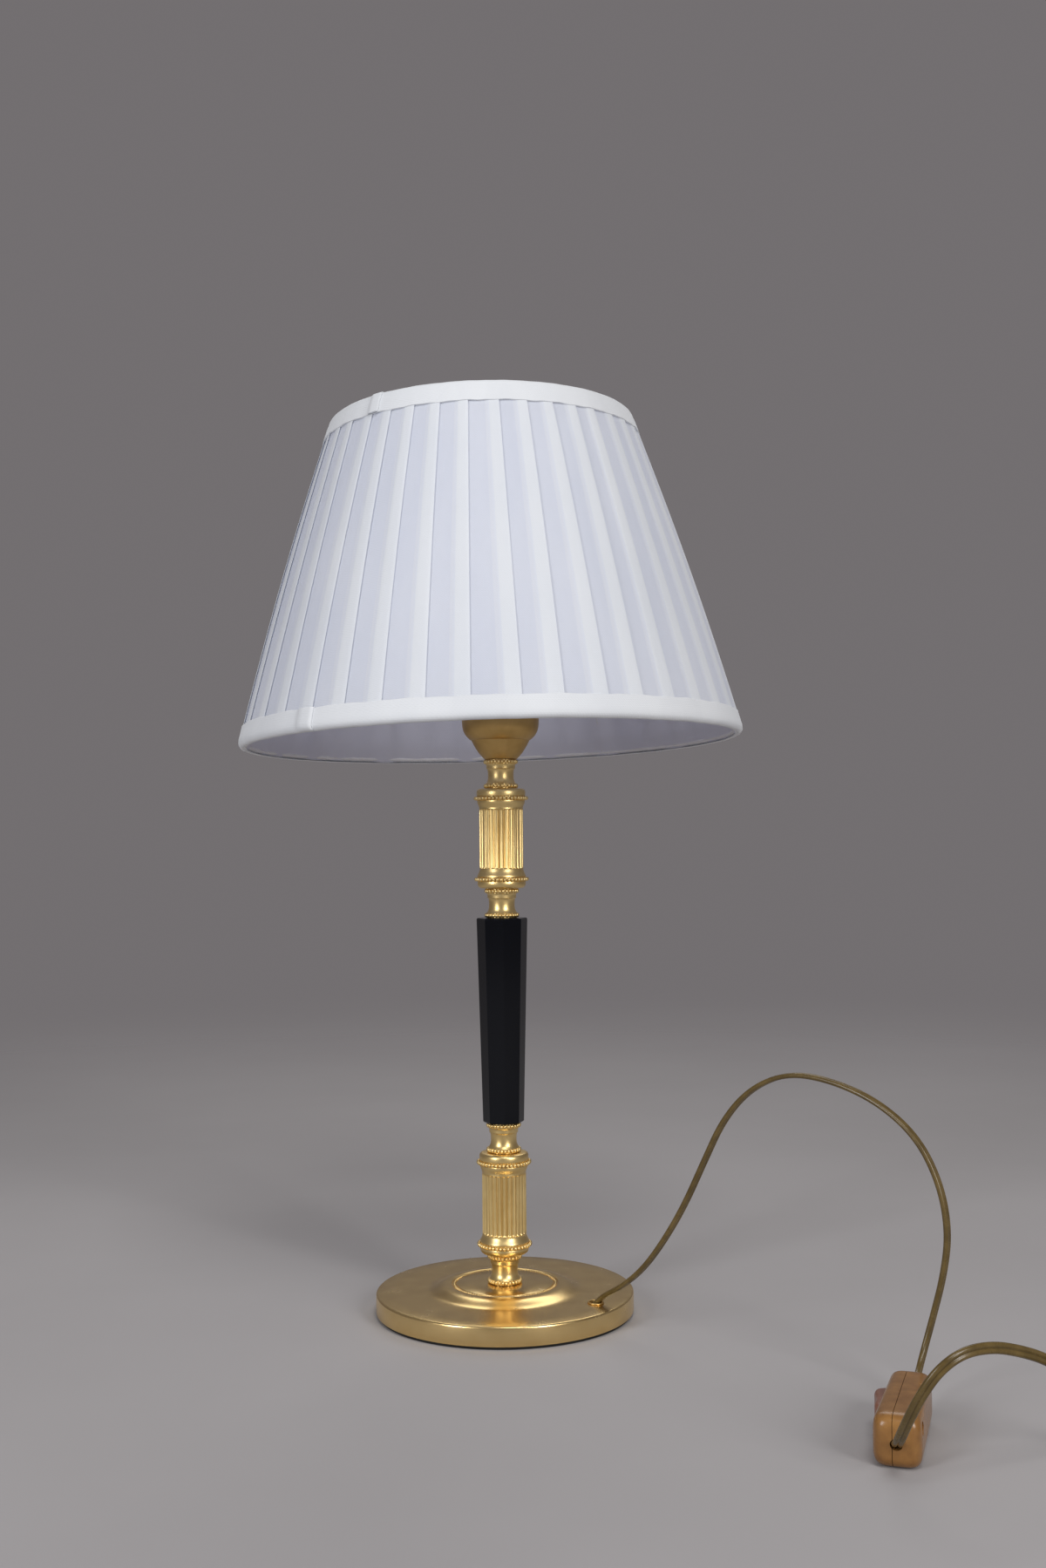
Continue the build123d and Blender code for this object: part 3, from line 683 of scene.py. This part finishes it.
def coil_marks():
    # where the flex crosses the coil's middle line: radius, side and height, inwards below, outwards above
    inner = coil_outer_radius - coil_half_turns_in * coil_pitch / 2
    high = coil_low_z + coil_layer_step
    marks = []
    for index in range(coil_half_turns_in):
        marks.append((coil_outer_radius - index * coil_pitch / 2, (-1) ** index, coil_low_z))
    side = (-1) ** coil_half_turns_in
    marks.append((inner - coil_climb_inset, side, coil_low_z))
    marks.append((inner - coil_climb_inset, -side, high))
    for index in range(1, coil_half_turns_out + 1):
        marks.append((inner + index * coil_pitch / 2, -side * (-1) ** index, high))
    return marks


def coil_points():
    points = []
    marks = coil_marks()
    for (near, side, low), (far, other, high) in zip(marks, marks[1:]):
        centre = coil_y + (side * near + other * far) / 2
        reach = side * (near + far) / 2
        for step in range(coil_steps):
            turn = math.pi * step / coil_steps
            height = low + (high - low) * (1 - math.cos(turn)) / 2
            points.append((coil_x + reach * math.sin(turn), centre + reach * math.cos(turn), height))
    radius, side, height = marks[-1]
    for along in (0.0, plug_lead_length / 2, plug_lead_length + cord_width):
        points.append((coil_x + along, coil_y + side * radius, height))
    return points


# Switch on the flex. Its end's rounding is (distance from the end, inset), and the rocker's
# shoulder is (depth behind its outer face, distance from its middle).

switch_end_rounding = [
    (0.0, 4.4), (0.25, 3.2), (0.9, 2.1), (1.9, 1.2), (3.2, 0.55), (4.8, 0.15), (7.0, 0.0),
]

rocker_edge_rounding = [(0.0, 1.9), (0.12, 1.3), (0.45, 0.75), (1.0, 0.3), (1.9, 0.0)]

rocker_shoulder = [
    (5.6, 12.0), (4.4, 11.98), (3.4, 11.85), (2.4, 11.5), (1.5, 10.9), (0.8, 10.1), (0.35, 9.1),
    (0.1, 7.9), (0.08, 6.4), (0.25, 4.8), (0.5, 3.2), (0.7, 1.6), (0.78, 0.0),
]


def on_switch(bm):
    turn = Matrix.Rotation(math.radians(switch_turn_degrees), 4, "Z")
    seat = Matrix.Translation(Vector((switch_x, switch_y, 0)) * mm)
    bmesh.ops.transform(bm, matrix=seat @ turn, verts=bm.verts)


def switch_body():
    # a soft box with rounded ends, a little thicker at the end near the viewer
    half_length = switch_length / 2
    near_end = [(back - half_length, inset) for back, inset in switch_end_rounding]
    far_end = [(half_length - back, inset) for back, inset in reversed(switch_end_rounding)]
    bm = bmesh.new()
    rings = []
    for place, inset in near_end + [(0.0, 0.0)] + far_end:
        share = place / switch_length + 0.5
        half_thick = (switch_near_thickness * (1 - share) + switch_thickness * share) / 2 - inset
        half_high = switch_height / 2 - inset
        circle = []
        for step in range(switch_section_points):
            turn = 2 * math.pi * step / switch_section_points
            across, up = soft_square(turn, switch_squareness)
            spot = (half_thick * across, place, switch_height / 2 + half_high * up)
            circle.append(bm.verts.new(Vector(spot) * mm))
        rings.append(circle)
    skin(bm, rings)
    close_ends(bm, rings)
    return bm


def switch_tool(name, bm):
    on_switch(bm)
    return new_object(name, to_mesh(bm, name))


def flex_holes(half):
    # one at each end, a little lower than wide
    lying = Matrix.Rotation(math.radians(90), 4, "X")
    turn = Matrix.Diagonal((1, 1, flex_hole_flatness, 1)) @ lying
    tools = []
    for end in (-switch_length / 2, switch_length / 2):
        bm = round_tool((0, end, flex_hole_height), turn, flex_hole_radius, flex_hole_depth)
        tools.append(switch_tool("flex_hole_" + half, bm))
    return tools


def screw_holes():
    turn = Matrix.Rotation(math.radians(90), 4, "Y")
    depth_place = switch_thickness / 2 + screw_hole_shift
    tools = []
    for offset in (-screw_hole_spread, screw_hole_spread):
        place = (depth_place, offset, screw_hole_height)
        bm = round_tool(place, turn, screw_hole_radius, screw_hole_length)
        tools.append(switch_tool("screw_hole", bm))
    return tools


def rocker_window():
    bm = bmesh.new()
    size = Matrix.Diagonal([length * mm for length in rocker_window_size] + [1])
    place = Vector((-switch_thickness / 2, rocker_offset, switch_height / 2)) * mm
    bmesh.ops.create_cube(bm, size=1, matrix=Matrix.Translation(place) @ size)
    return switch_tool("rocker_window", bm)


def switch_half(name, side, tools):
    # side is -1 for the half with the rocker's window and 1 for the half with the screws
    bm = switch_body()
    seam = switch_seam if side < 0 else switch_seam + switch_seam_gap
    geometry = bm.verts[:] + bm.edges[:] + bm.faces[:]
    plane = Vector((seam * mm, 0, 0))
    keep = Vector((-side, 0, 0))
    result = bmesh.ops.bisect_plane(bm, geom=geometry, plane_co=plane, plane_no=keep, clear_outer=True)
    edges = [part for part in result["geom_cut"] if isinstance(part, bmesh.types.BMEdge)]
    bmesh.ops.holes_fill(bm, edges=edges)
    on_switch(bm)
    mesh = to_mesh(bm, name)
    obj = finished(name + "_moulded", mesh, switch_plastic, "lamp", [name], 50)
    cut(obj, tools, 50)
    return obj


def inset_outline(points, inset):
    # each point moves inwards, square to the line between its neighbours
    moved = []
    for index, point in enumerate(points):
        before = Vector(points[index - 1])
        after = Vector(points[(index + 1) % len(points)])
        along = (after - before).normalized()
        moved.append(Vector(point) + Vector((along.y, -along.x)) * inset)
    return moved


def rocker_outline(pivot):
    # seen from above and drawn about its pin: a shallow dish between two round shoulders
    outer = -(switch_thickness / 2 + rocker_proud) - pivot
    near_side = [(outer + back, -along) for back, along in rocker_shoulder]
    far_side = [(outer + back, along) for back, along in reversed(rocker_shoulder[:-1])]
    back = [(rocker_back_depth, rocker_back_reach), (rocker_back_depth, -rocker_back_reach)]
    return near_side + far_side + back


def switch_rocker():
    # stacked outlines, drawn in towards the top and the bottom for soft edges
    pivot = -(switch_thickness / 2 - switch_wall - rocker_pin_depth)
    outline = rocker_outline(pivot)
    upper_edge = [(rocker_height - rise, inset) for rise, inset in reversed(rocker_edge_rounding)]
    bm = bmesh.new()
    rings = []
    for level, inset in rocker_edge_rounding + upper_edge:
        spots = inset_outline(outline, inset)
        rings.append([bm.verts.new(Vector((spot.x, spot.y, level)) * mm) for spot in spots])
    skin(bm, rings)
    close_ends(bm, rings)
    tilt = Matrix.Rotation(math.radians(rocker_tilt_degrees), 4, "Z")
    foot = (switch_height - rocker_height) / 2
    place = Matrix.Translation(Vector((pivot, rocker_offset, foot)) * mm)
    bmesh.ops.transform(bm, matrix=place @ tilt, verts=bm.verts)
    on_switch(bm)
    mesh = to_mesh(bm, "switch_rocker")
    replaced = ["switch_rocker"]
    return finished("rocker_moulded", mesh, rocker_plastic, "rocker", replaced, 50)


# Sleeve at the plug and the strap round the coil, whose band is (place across its width, crown)

strap_band = [
    (-4.4, 0.0), (-4.2, 0.5), (-2.2, 0.72), (2.2, 0.72), (4.2, 0.5), (4.4, 0.0), (4.2, -0.15),
    (-4.2, -0.15),
]


def sleeve_profile():
    # ribs that grow towards the plug, with a slit between them
    profile = [(1.0, 0.0), (2.75, 0.0), (2.95, 0.4)]
    for rib in range(sleeve_ribs):
        along = sleeve_rib_start + rib * sleeve_rib_pitch
        swell = sleeve_rib_growth * rib
        profile.append((3.0 + swell, along))
        profile.append((3.2 + swell, along + 0.3))
        profile.append((3.2 + swell, along + 2.0))
        profile.append((2.9 + swell, along + 2.3))
    return profile + [(4.6, sleeve_length - 1.5), (5.2, sleeve_length), (1.0, sleeve_length)]


def plug_sleeve():
    radius, side, height = coil_marks()[-1]
    bm = bmesh.new()
    close_ends(bm, lathe(bm, sleeve_profile(), segments=48))
    flatten = Matrix.Diagonal((sleeve_flatness, sleeve_width, 1, 1))
    along_x = Matrix.Rotation(math.radians(90), 4, "Y")
    start_x = coil_x + plug_lead_length + cord_width + sleeve_overlap - sleeve_length
    start = (start_x, coil_y + side * radius, height)
    seat = Matrix.Translation(Vector(start) * mm) @ along_x @ flatten
    bmesh.ops.transform(bm, matrix=seat, verts=bm.verts)
    mesh = to_mesh(bm, "plug_sleeve")
    return finished("plug_sleeve", mesh, switch_plastic, "lamp", (), 35)


def strap_rings(bm):
    inner = coil_outer_radius - coil_half_turns_in * coil_pitch / 2 - coil_climb_inset - strap_inner_room
    outer = coil_outer_radius + coil_pitch / 2 + strap_outer_room
    half_high = (strap_height - strap_thickness) / 2
    rings = []
    for step in range(strap_points):
        across, up = soft_square(2 * math.pi * step / strap_points, strap_squareness)
        circle = []
        for along, crown in strap_band:
            x = (outer + inner) / 2 + ((outer - inner) / 2 + crown) * across
            z = strap_height / 2 + strap_lift + (half_high + crown * strap_crown_share) * up
            circle.append(bm.verts.new(Vector((x, along, z)) * mm))
        rings.append(circle)
    return rings


def coil_strap():
    # a soft band round the bundle, slightly crowned across its width
    bm = bmesh.new()
    rings = strap_rings(bm)
    skin(bm, rings + rings[:1])
    seat = Matrix.Translation(Vector((coil_x, coil_y, 0)) * mm)
    turn = Matrix.Rotation(math.radians(strap_turn_degrees), 4, "Z")
    bmesh.ops.transform(bm, matrix=seat @ turn, verts=bm.verts)
    mesh = to_mesh(bm, "coil_strap")
    return finished("coil_strap", mesh, strap, "lamp", ["cord_tie"], 40)


moulded_switch = [
    switch_half("switch_shell_left", -1, flex_holes("left") + [rocker_window()]),
    switch_half("switch_shell_right", 1, flex_holes("right") + screw_holes()),
    switch_rocker(),
]
coil_pieces = [plug_sleeve(), coil_strap()]
section = twin_section()
lead = flex_run("flex_lead", metres(lead_points), section)
tail = flex_run("flex_tail", metres(tail_points + coil_points()), section)
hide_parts("cord_lead")
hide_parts("cord_tail", "cord_coil", "cord_plug_lead")


# Turned brass. Profiles are (radius, height) from the piece's own foot.

# seats for the bead rings at both ends, a flaring neck and a small collar near the top
spool_profile = [
    (bore_radius, 0.0), (8.0, 0.0), (8.45, 0.25), (8.45, 2.6), (8.15, 3.0), (7.8, 3.5), (7.4, 4.3),
    (7.1, 5.6), (7.0, 7.4), (7.1, 9.2), (7.35, 10.5), (7.55, 10.8), (7.85, 10.95), (7.9, 11.3),
    (7.85, 12.4), (8.0, 13.0), (8.3, 13.4), (8.45, 13.6), (8.45, 15.95), (8.0, spool_height),
    (bore_radius, spool_height),
]

# a rounded step, the seat of the bead ring, and a slope up to the flutes
drum_foot_profile = [
    (bore_radius, 0.0), (10.9, 0.0), (12.0, 0.3), (12.8, 0.95), (13.2, 1.9), (13.3, 3.4), (13.1, 3.8),
    (13.1, 6.1), (13.4, 6.4), (13.35, 6.9), (13.0, 7.6), (12.5, 8.6), (12.2, 9.4),
    (12.05, drum_foot_height), (bore_radius, drum_foot_height),
]

# a slope up from the flutes, the seat of the bead ring, and a rounded rim
drum_cap_profile = [
    (bore_radius, 0.0), (12.05, 0.0), (12.15, 0.5), (12.4, 1.2), (12.85, 2.2), (13.1, 3.2), (13.1, 4.0),
    (13.0, 4.2), (13.0, 6.2), (13.3, 6.5), (13.4, 7.2), (13.4, 8.7), (13.2, 9.5), (12.7, 10.15),
    (11.9, 10.45), (bore_radius, drum_cap_height),
]

# one flute: (share of the pitch, share of the flute's depth)
flute_line = [
    (0.0, 0.0), (0.1, 0.0), (0.17, 0.32), (0.28, 0.66), (0.42, 0.9), (0.55, 0.97), (0.68, 0.9),
    (0.82, 0.66), (0.93, 0.32),
]

# a flute's end: (distance from the end, share of the flute's depth)
flute_end = [(0.0, 0.0), (0.7, 0.0), (0.75, 0.3), (0.95, 0.62), (1.3, 0.87), (1.8, 1.0)]


def spool(name, low):
    bm = bmesh.new()
    close_ends(bm, lathe(bm, raised(spool_profile, low), segments=72))
    for height in (spool_bead_inset, spool_height - spool_bead_inset):
        beads(bm, spool_bead_ring, low + height, spool_bead_count, spool_bead_radius, spool_bead_stretch)
    brass_piece(bm, name, "_turned", column_brass, smooth_degrees=35)


def drum_end(name, low, profile, bead_height):
    bm = bmesh.new()
    close_ends(bm, lathe(bm, raised(profile, low)))
    beads(bm, drum_bead_ring, low + bead_height, drum_bead_count, drum_bead_radius, drum_bead_stretch)
    brass_piece(bm, name, "_turned", column_brass, smooth_degrees=32)


def fluted_drum(name, low):
    # hollow flutes between narrow ridges, rounded off at both ends
    height = drum_height - drum_foot_height - drum_cap_height
    upper_end = [(height - level, deep) for level, deep in reversed(flute_end)]
    bm = bmesh.new()
    rings = []
    for level, deep in flute_end + [(height / 2, 1.0)] + upper_end:
        circle = []
        for flute in range(flute_count):
            for place, hollow in flute_line:
                turn = 2 * math.pi * (flute + place) / flute_count
                out = drum_radius - flute_depth * hollow * deep
                circle.append(bm.verts.new(around(out, turn, low + level)))
        rings.append(circle)
    skin(bm, rings)
    close_ends(bm, rings)
    brass_piece(bm, name, "_cut", column_brass, smooth_degrees=38)


def socket_cup():
    # a lower bowl, a crease, and a wider bowl with an upright lip
    bowl = [(8.9, 0.0), (10.6, 1.8), (12.1, 3.6), (14.1, 6.7), (15.4, 9.2), (16.0, 10.4)]
    lip = [
        (16.2, 10.5), (16.9, 10.9), (17.9, 11.8), (19.3, 13.4), (20.4, 15.6), (21.0, 18.2),
        (21.2, 22.0), (21.2, cup_height),
    ]
    inner = [
        (20.3, cup_height), (20.3, 21.0), (18.6, 14.6), (15.2, 11.2), (14.4, 9.0), (8.6, 1.2),
        (bore_radius, 0.9), (bore_radius, 0.0),
    ]
    outer = smooth_line(bowl, steps=5) + smooth_line(lip, steps=5)
    bm = bmesh.new()
    rings = lathe(bm, raised(outer + inner, cup_z))
    skin(bm, [rings[-1], rings[0]])
    # the cup's darker brass colour is painted shade from the lampshade above it
    brass_piece(bm, "socket_cup", "_spun", dull_shaded_brass, smooth_degrees=35)


def base_profile():
    # rim, flat ring, cove up to the raised centre, the beads' groove, and the hollow underside
    foot = (base_radius - 1.4, 1.6)
    rim = [
        foot, (base_radius - 0.1, 1.7), (base_radius, 2.0), (base_radius, 10.7),
        (base_radius - 0.15, 11.3), (base_radius - 0.55, 11.7), (base_radius - 1.1, 11.85),
    ]
    annulus = [(60.0, 11.9), (50.0, 12.0), (45.0, 12.08)]
    cove = [
        (43.4, 12.1), (41.8, 12.25), (40.2, 12.6), (38.6, 13.2), (37.0, 13.9), (35.4, 14.55),
        (33.8, 15.05), (32.2, 15.33), (30.6, base_top),
    ]
    centre = [
        (29.1, base_top), (28.9, 15.3), (28.7, 14.9), (26.5, 14.9), (26.3, 15.3), (26.1, base_top),
        (14.0, base_top), (bore_radius, base_top),
    ]
    inner = [(bore_radius, 13.9), (33.0, 13.9), (38.0, 11.6), (41.0, 10.6), (base_radius - 1.6, 10.2), foot]
    return rim + annulus + smooth_line(cove, steps=3) + centre + inner


def add_base_beads(obj):
    # joined on after the eyelet's hole is cut, because the cut would lose them
    ring = bmesh.new()
    beads(ring, base_bead_ring, base_bead_height, base_bead_count, base_bead_radius)
    ring_mesh = to_mesh(ring, "base_beads")
    bm = bmesh.new()
    bm.from_mesh(obj.data)
    bm.from_mesh(ring_mesh)
    bpy.data.meshes.remove(ring_mesh)
    for face in bm.faces:
        face.smooth = True
    bm.to_mesh(obj.data)
    bm.free()


def base_shell():
    bm = bmesh.new()
    lathe(bm, base_profile(), segments=160)
    bmesh.ops.remove_doubles(bm, verts=bm.verts, dist=0.00001)
    mesh = to_mesh(bm, "base_shell")
    obj = finished("base_spun", mesh, satin_brass, "lamp", ["base_shell"], 32)
    hole_place = (eyelet_x, eyelet_y, eyelet_hole_z)
    hole = round_tool(hole_place, Matrix.Identity(4), eyelet_hole_radius, eyelet_hole_depth)
    cut(obj, [new_object("eyelet_hole", to_mesh(hole, "eyelet_hole"))], 32)
    add_base_beads(obj)


def cord_eyelet():
    profile = [
        (3.4, 10.6), (3.7, 10.6), (3.7, 12.0), (4.25, 12.02), (4.4, 12.25), (4.3, 12.6), (4.0, 12.8),
        (3.65, 12.75), (3.4, 12.4),
    ]
    bm = bmesh.new()
    rings = lathe(bm, profile, segments=48)
    skin(bm, [rings[-1], rings[0]])
    bmesh.ops.translate(bm, verts=bm.verts, vec=Vector((eyelet_x, eyelet_y, 0)) * mm)
    brass_piece(bm, "cord_eyelet", "_turned", dull_shaded_brass, smooth_degrees=50)


for spool_name, spool_low in (
    ("foot_spool", foot_spool_z),
    ("lower_stem_spool", stem_spool_z),
    ("upper_stem_spool", upper_spool_z),
    ("neck_spool", neck_spool_z),
):
    spool(spool_name, spool_low)
for drum_name, drum_low in (("lower_drum", lower_drum_z), ("upper_drum", upper_drum_z)):
    cap_low = drum_low + drum_height - drum_cap_height
    drum_end(drum_name + "_foot", drum_low, drum_foot_profile, drum_foot_bead_height)
    fluted_drum(drum_name + "_flutes", drum_low + drum_foot_height)
    drum_end(drum_name + "_cap", cap_low, drum_cap_profile, drum_cap_bead_height)
socket_cup()
base_shell()
cord_eyelet()


# Shade

def shade_radius(height):
    share = min(max(height / shade_height, 0), 1)
    straight = shade_wide_radius - (shade_wide_radius - shade_narrow_radius) * share
    return straight + shade_bulge * math.sin(math.pi * share)


def lean(bm):
    up = fitter_z - shade_rim_height
    seat = Matrix.Translation(Vector((-shade_shift_left, 0, fitter_z)) * mm)
    left = Matrix.Rotation(math.radians(-shade_lean_left_degrees), 4, "Y")
    back = Matrix.Rotation(math.radians(-shade_lean_back_degrees), 4, "X")
    drop = Matrix.Translation(Vector((0, 0, -up)) * mm)
    bmesh.ops.transform(bm, matrix=seat @ left @ back @ drop, verts=bm.verts)


# one knife pleat: share of the pitch, distance behind the outer line, and how far
# the cloth there is doubled, from 0 for a single layer to 2 for the fold itself
pleat_line = [
    (0.00, 0.83, 0),
    (0.20, 0.72, 0),
    (0.40, 0.63, 0),
    (0.50, 0.55, 1),
    (0.58, 0.40, 1),
    (0.64, 0.23, 2),
    (0.74, 0.13, 2),
    (0.88, 0.04, 2),
    (0.97, 0.00, 2),
    (1.00, 0.09, 2),
    (0.985, 0.27, 2),
    (0.80, 0.37, 2),
    (0.62, 0.48, 2),
    (0.605, 0.56, 2),
    (0.63, 0.65, 2),
    (0.82, 0.76, 2),
]


def pleat_differences():
    # for each pleat, its shift at the lower and the upper edge as shares of the pitch, and its swell
    differences = []
    for _ in range(pleat_count):
        shift = random.uniform(-0.08, 0.08)
        differences.append((shift, shift + random.uniform(-0.05, 0.05), random.uniform(-0.25, 0.25)))
    return differences


def pleat_ring(bm, share, height, differences):
    belly = math.sin(math.pi * share)
    circle = []
    for pleat, (shift_low, shift_high, swell) in enumerate(differences):
        shift = shift_low * (1 - share) + shift_high * share
        for place, depth, doubled in pleat_line:
            moved = shift * (0.5 + 0.25 * doubled)
            turn = 2 * math.pi * (pleat + place + moved) / pleat_count
            out = shade_radius(height) - depth + belly * swell * (2 - doubled) * pleat_swell_share
            out -= rib_sink * (1 - math.cos(rib_count * turn)) * belly / 2
            circle.append(bm.verts.new(around(out, turn, height)))
    return circle


def pleated_cover():
    bm = bmesh.new()
    low = wide_trim_height - cover_overlap
    high = shade_height - narrow_trim_height + cover_overlap
    differences = pleat_differences()
    rings = []
    for row in range(cover_rows + 1):
        share = row / cover_rows
        rings.append(pleat_ring(bm, share, low + (high - low) * share, differences))
    marks = [doubled for _, _, doubled in pleat_line] * pleat_count
    tones = [min(pair) for pair in pairs_around(marks)]
    for face, tone in zip(skin(bm, rings), tones * cover_rows):
        face.material_index = tone
    lean(bm)
    mesh = to_mesh(bm, "pleated_cover", outward=False)
    for material in (pleat_face, pleat_middle, pleat_fold):
        mesh.materials.append(material)
    obj = finished("pleated_cover", mesh, None, "shade", ["shade_cover"], 60)


def lining_ring(bm, row):
    # puckers that fade out upwards, and a slightly uneven, flared lower edge
    share = row / lining_rows
    height = lining_edge + (shade_height - 2 * lining_edge) * share
    circle = []
    for step in range(lining_segments):
        turn = 2 * math.pi * step / lining_segments
        pucker = 0.16 * math.sin(31 * turn + 1.3) + 0.12 * math.sin(47 * turn)
        out = shade_radius(height) - lining_gap + pucker * (1 - share)
        level = height
        if row == 0:
            level += 0.45 * math.sin(17 * turn + 0.4) + 0.3 * math.sin(29 * turn)
            out += lining_edge_flare
        circle.append(bm.verts.new(around(out, turn, level)))
    return circle


def lining():
    bm = bmesh.new()
    rings = [lining_ring(bm, row) for row in range(lining_rows + 1)]
    for lower, upper in zip(rings, rings[1:]):
        for first, last in zip(pairs_around(lower), pairs_around(upper)):
            bm.faces.new((first[0], last[0], last[1], first[1]))
    lean(bm)
    mesh = to_mesh(bm, "lining_sheet", outward=False)
    obj = finished("lining_sheet", mesh, lining_cloth, "shade", ["shade_lining"], 60)


def trim_section(edge, inward, height):
    # the tape's line from its outer hem, round the wire, to its inner hem
    wire_height = edge + inward * trim_wire_radius
    wire = shade_radius(wire_height) - trim_wire_radius
    hem = edge + inward * height
    points = []
    for share in (0.0, 0.04, 0.10, 0.25, 0.45, 0.65, 0.82):
        level = hem + (wire_height - hem) * share
        lift = -trim_stand_off if share == 0.0 else trim_stand_off
        points.append((shade_radius(level) + lift, level))
    for degrees in range(0, 121, 20):
        turn = math.radians(degrees)
        out = wire + trim_wrap_radius * math.cos(turn)
        points.append((out, wire_height - inward * trim_wrap_radius * math.sin(turn)))
    return points


# the seam where the tape's end laps over its start: (place in steps past the start, share of its lift)
seam_lap = [
    (0.0, 0.0), (0.35, 0.6), (0.7, 0.95), (1.8, 1.0), (3.4, 1.0), (4.0, 0.95), (4.15, 0.45), (4.1, 0.05),
]


def trim_column(bm, section_points, turn, lap, phase):
    # the outer hem, the first three points, wanders more than the rest of the tape
    wave = 0.10 * math.sin(23 * turn + phase) + 0.07 * math.sin(57 * turn) + 0.25 * lap
    column = []
    for index, (radius, level) in enumerate(section_points):
        sway = wave * (1.6 if index < 3 else 0.5)
        column.append(bm.verts.new(around(radius + lap * seam_thickness, turn, level + sway)))
    return column


def trim(name, edge, inward, height, seam_degrees):
    bm = bmesh.new()
    section_points = trim_section(edge, inward, height)
    steps = [(step, 0.0) for step in range(trim_segments)]
    steps += [(trim_segments + place, lap) for place, lap in seam_lap]
    columns = []
    for step, lap in steps:
        turn = math.radians(seam_degrees) + 2 * math.pi * step / trim_segments
        columns.append(trim_column(bm, section_points, turn, lap, edge))
    for before, after in zip(columns, columns[1:]):
        for index in range(len(section_points) - 1):
            bm.faces.new((before[index], after[index], after[index + 1], before[index + 1]))
    lean(bm)
    mesh = to_mesh(bm, name)
    obj = finished(name, mesh, tape, "shade", ["shade_" + name], 60)


pleated_cover()
lining()
trim("bottom_trim", 0.0, 1, wide_trim_height, wide_seam_degrees)
trim("top_trim", shade_height, -1, narrow_trim_height, narrow_seam_degrees)


# Floor, light and finish

def floor_material():
    # far away the floor thins out, so no horizon shows
    material, tree, shader = new_material("floor_paper")
    tint(tree, shader, noise(tree, scale=3.0), (0.40, 0.385, 0.39), (0.43, 0.415, 0.42))
    shader.inputs["Roughness"].default_value = 0.85
    distance = tree.nodes.new("ShaderNodeVectorMath")
    distance.operation = "LENGTH"
    tree.links.new(texture_coordinate(tree), distance.inputs[0])
    fade = tree.nodes.new("ShaderNodeMapRange")
    fade.interpolation_type = "SMOOTHSTEP"
    fade.inputs["From Min"].default_value = floor_fade_start
    fade.inputs["From Max"].default_value = floor_fade_end
    tree.links.new(distance.outputs["Value"], fade.inputs["Value"])
    clear = tree.nodes.new("ShaderNodeBsdfTransparent")
    tree.links.new(fade.outputs["Result"], blend_surface(tree, shader, clear))
    return material


def floor():
    bm = bmesh.new()
    bmesh.ops.create_grid(bm, x_segments=1, y_segments=1, size=floor_half_width)
    obj = new_object("floor", to_mesh(bm, "floor"))
    paint(obj, floor_material())


# name, place and aim in metres, width and height in metres, watts, colour
studio_lights = [
    ("right_box", (1.15, -1.6, 0.9), (0, 0, 0.25), (0.55, 1.1), 19, (1.0, 0.99, 0.975)),
    ("left_box", (-1.35, -1.4, 0.8), (0, 0, 0.25), (0.5, 1.1), 16.5, (0.97, 0.98, 1.0)),
    ("key", (0.25, -1.3, 2.0), (0, 0, 0.2), (0.7, 0.7), 12, (1.0, 0.995, 0.98)),
    ("back", (0.2, 1.6, 1.8), (0, 0, 0.3), (1.6, 0.8), 9, (1.0, 0.99, 0.97)),
]


def area_light(name, place, aim, size, power, colour):
    data = bpy.data.lights.new(name, "AREA")
    data.shape = "RECTANGLE"
    data.size, data.size_y = size
    data.energy = power
    data.color = colour
    obj = new_object(name, data)
    obj.location = place
    obj.rotation_euler = (Vector(aim) - Vector(place)).to_track_quat("-Z", "Y").to_euler()


def studio_world():
    world = bpy.data.worlds.new("studio")
    bpy.context.scene.world = world
    world.use_nodes = True
    background = world.node_tree.nodes["Background"]
    background.inputs["Color"].default_value = (0.170, 0.158, 0.163, 1)
    background.inputs["Strength"].default_value = 1.0


floor()
for light in studio_lights:
    area_light(*light)
studio_world()
scene = bpy.context.scene
scene.view_settings.view_transform = "Standard"
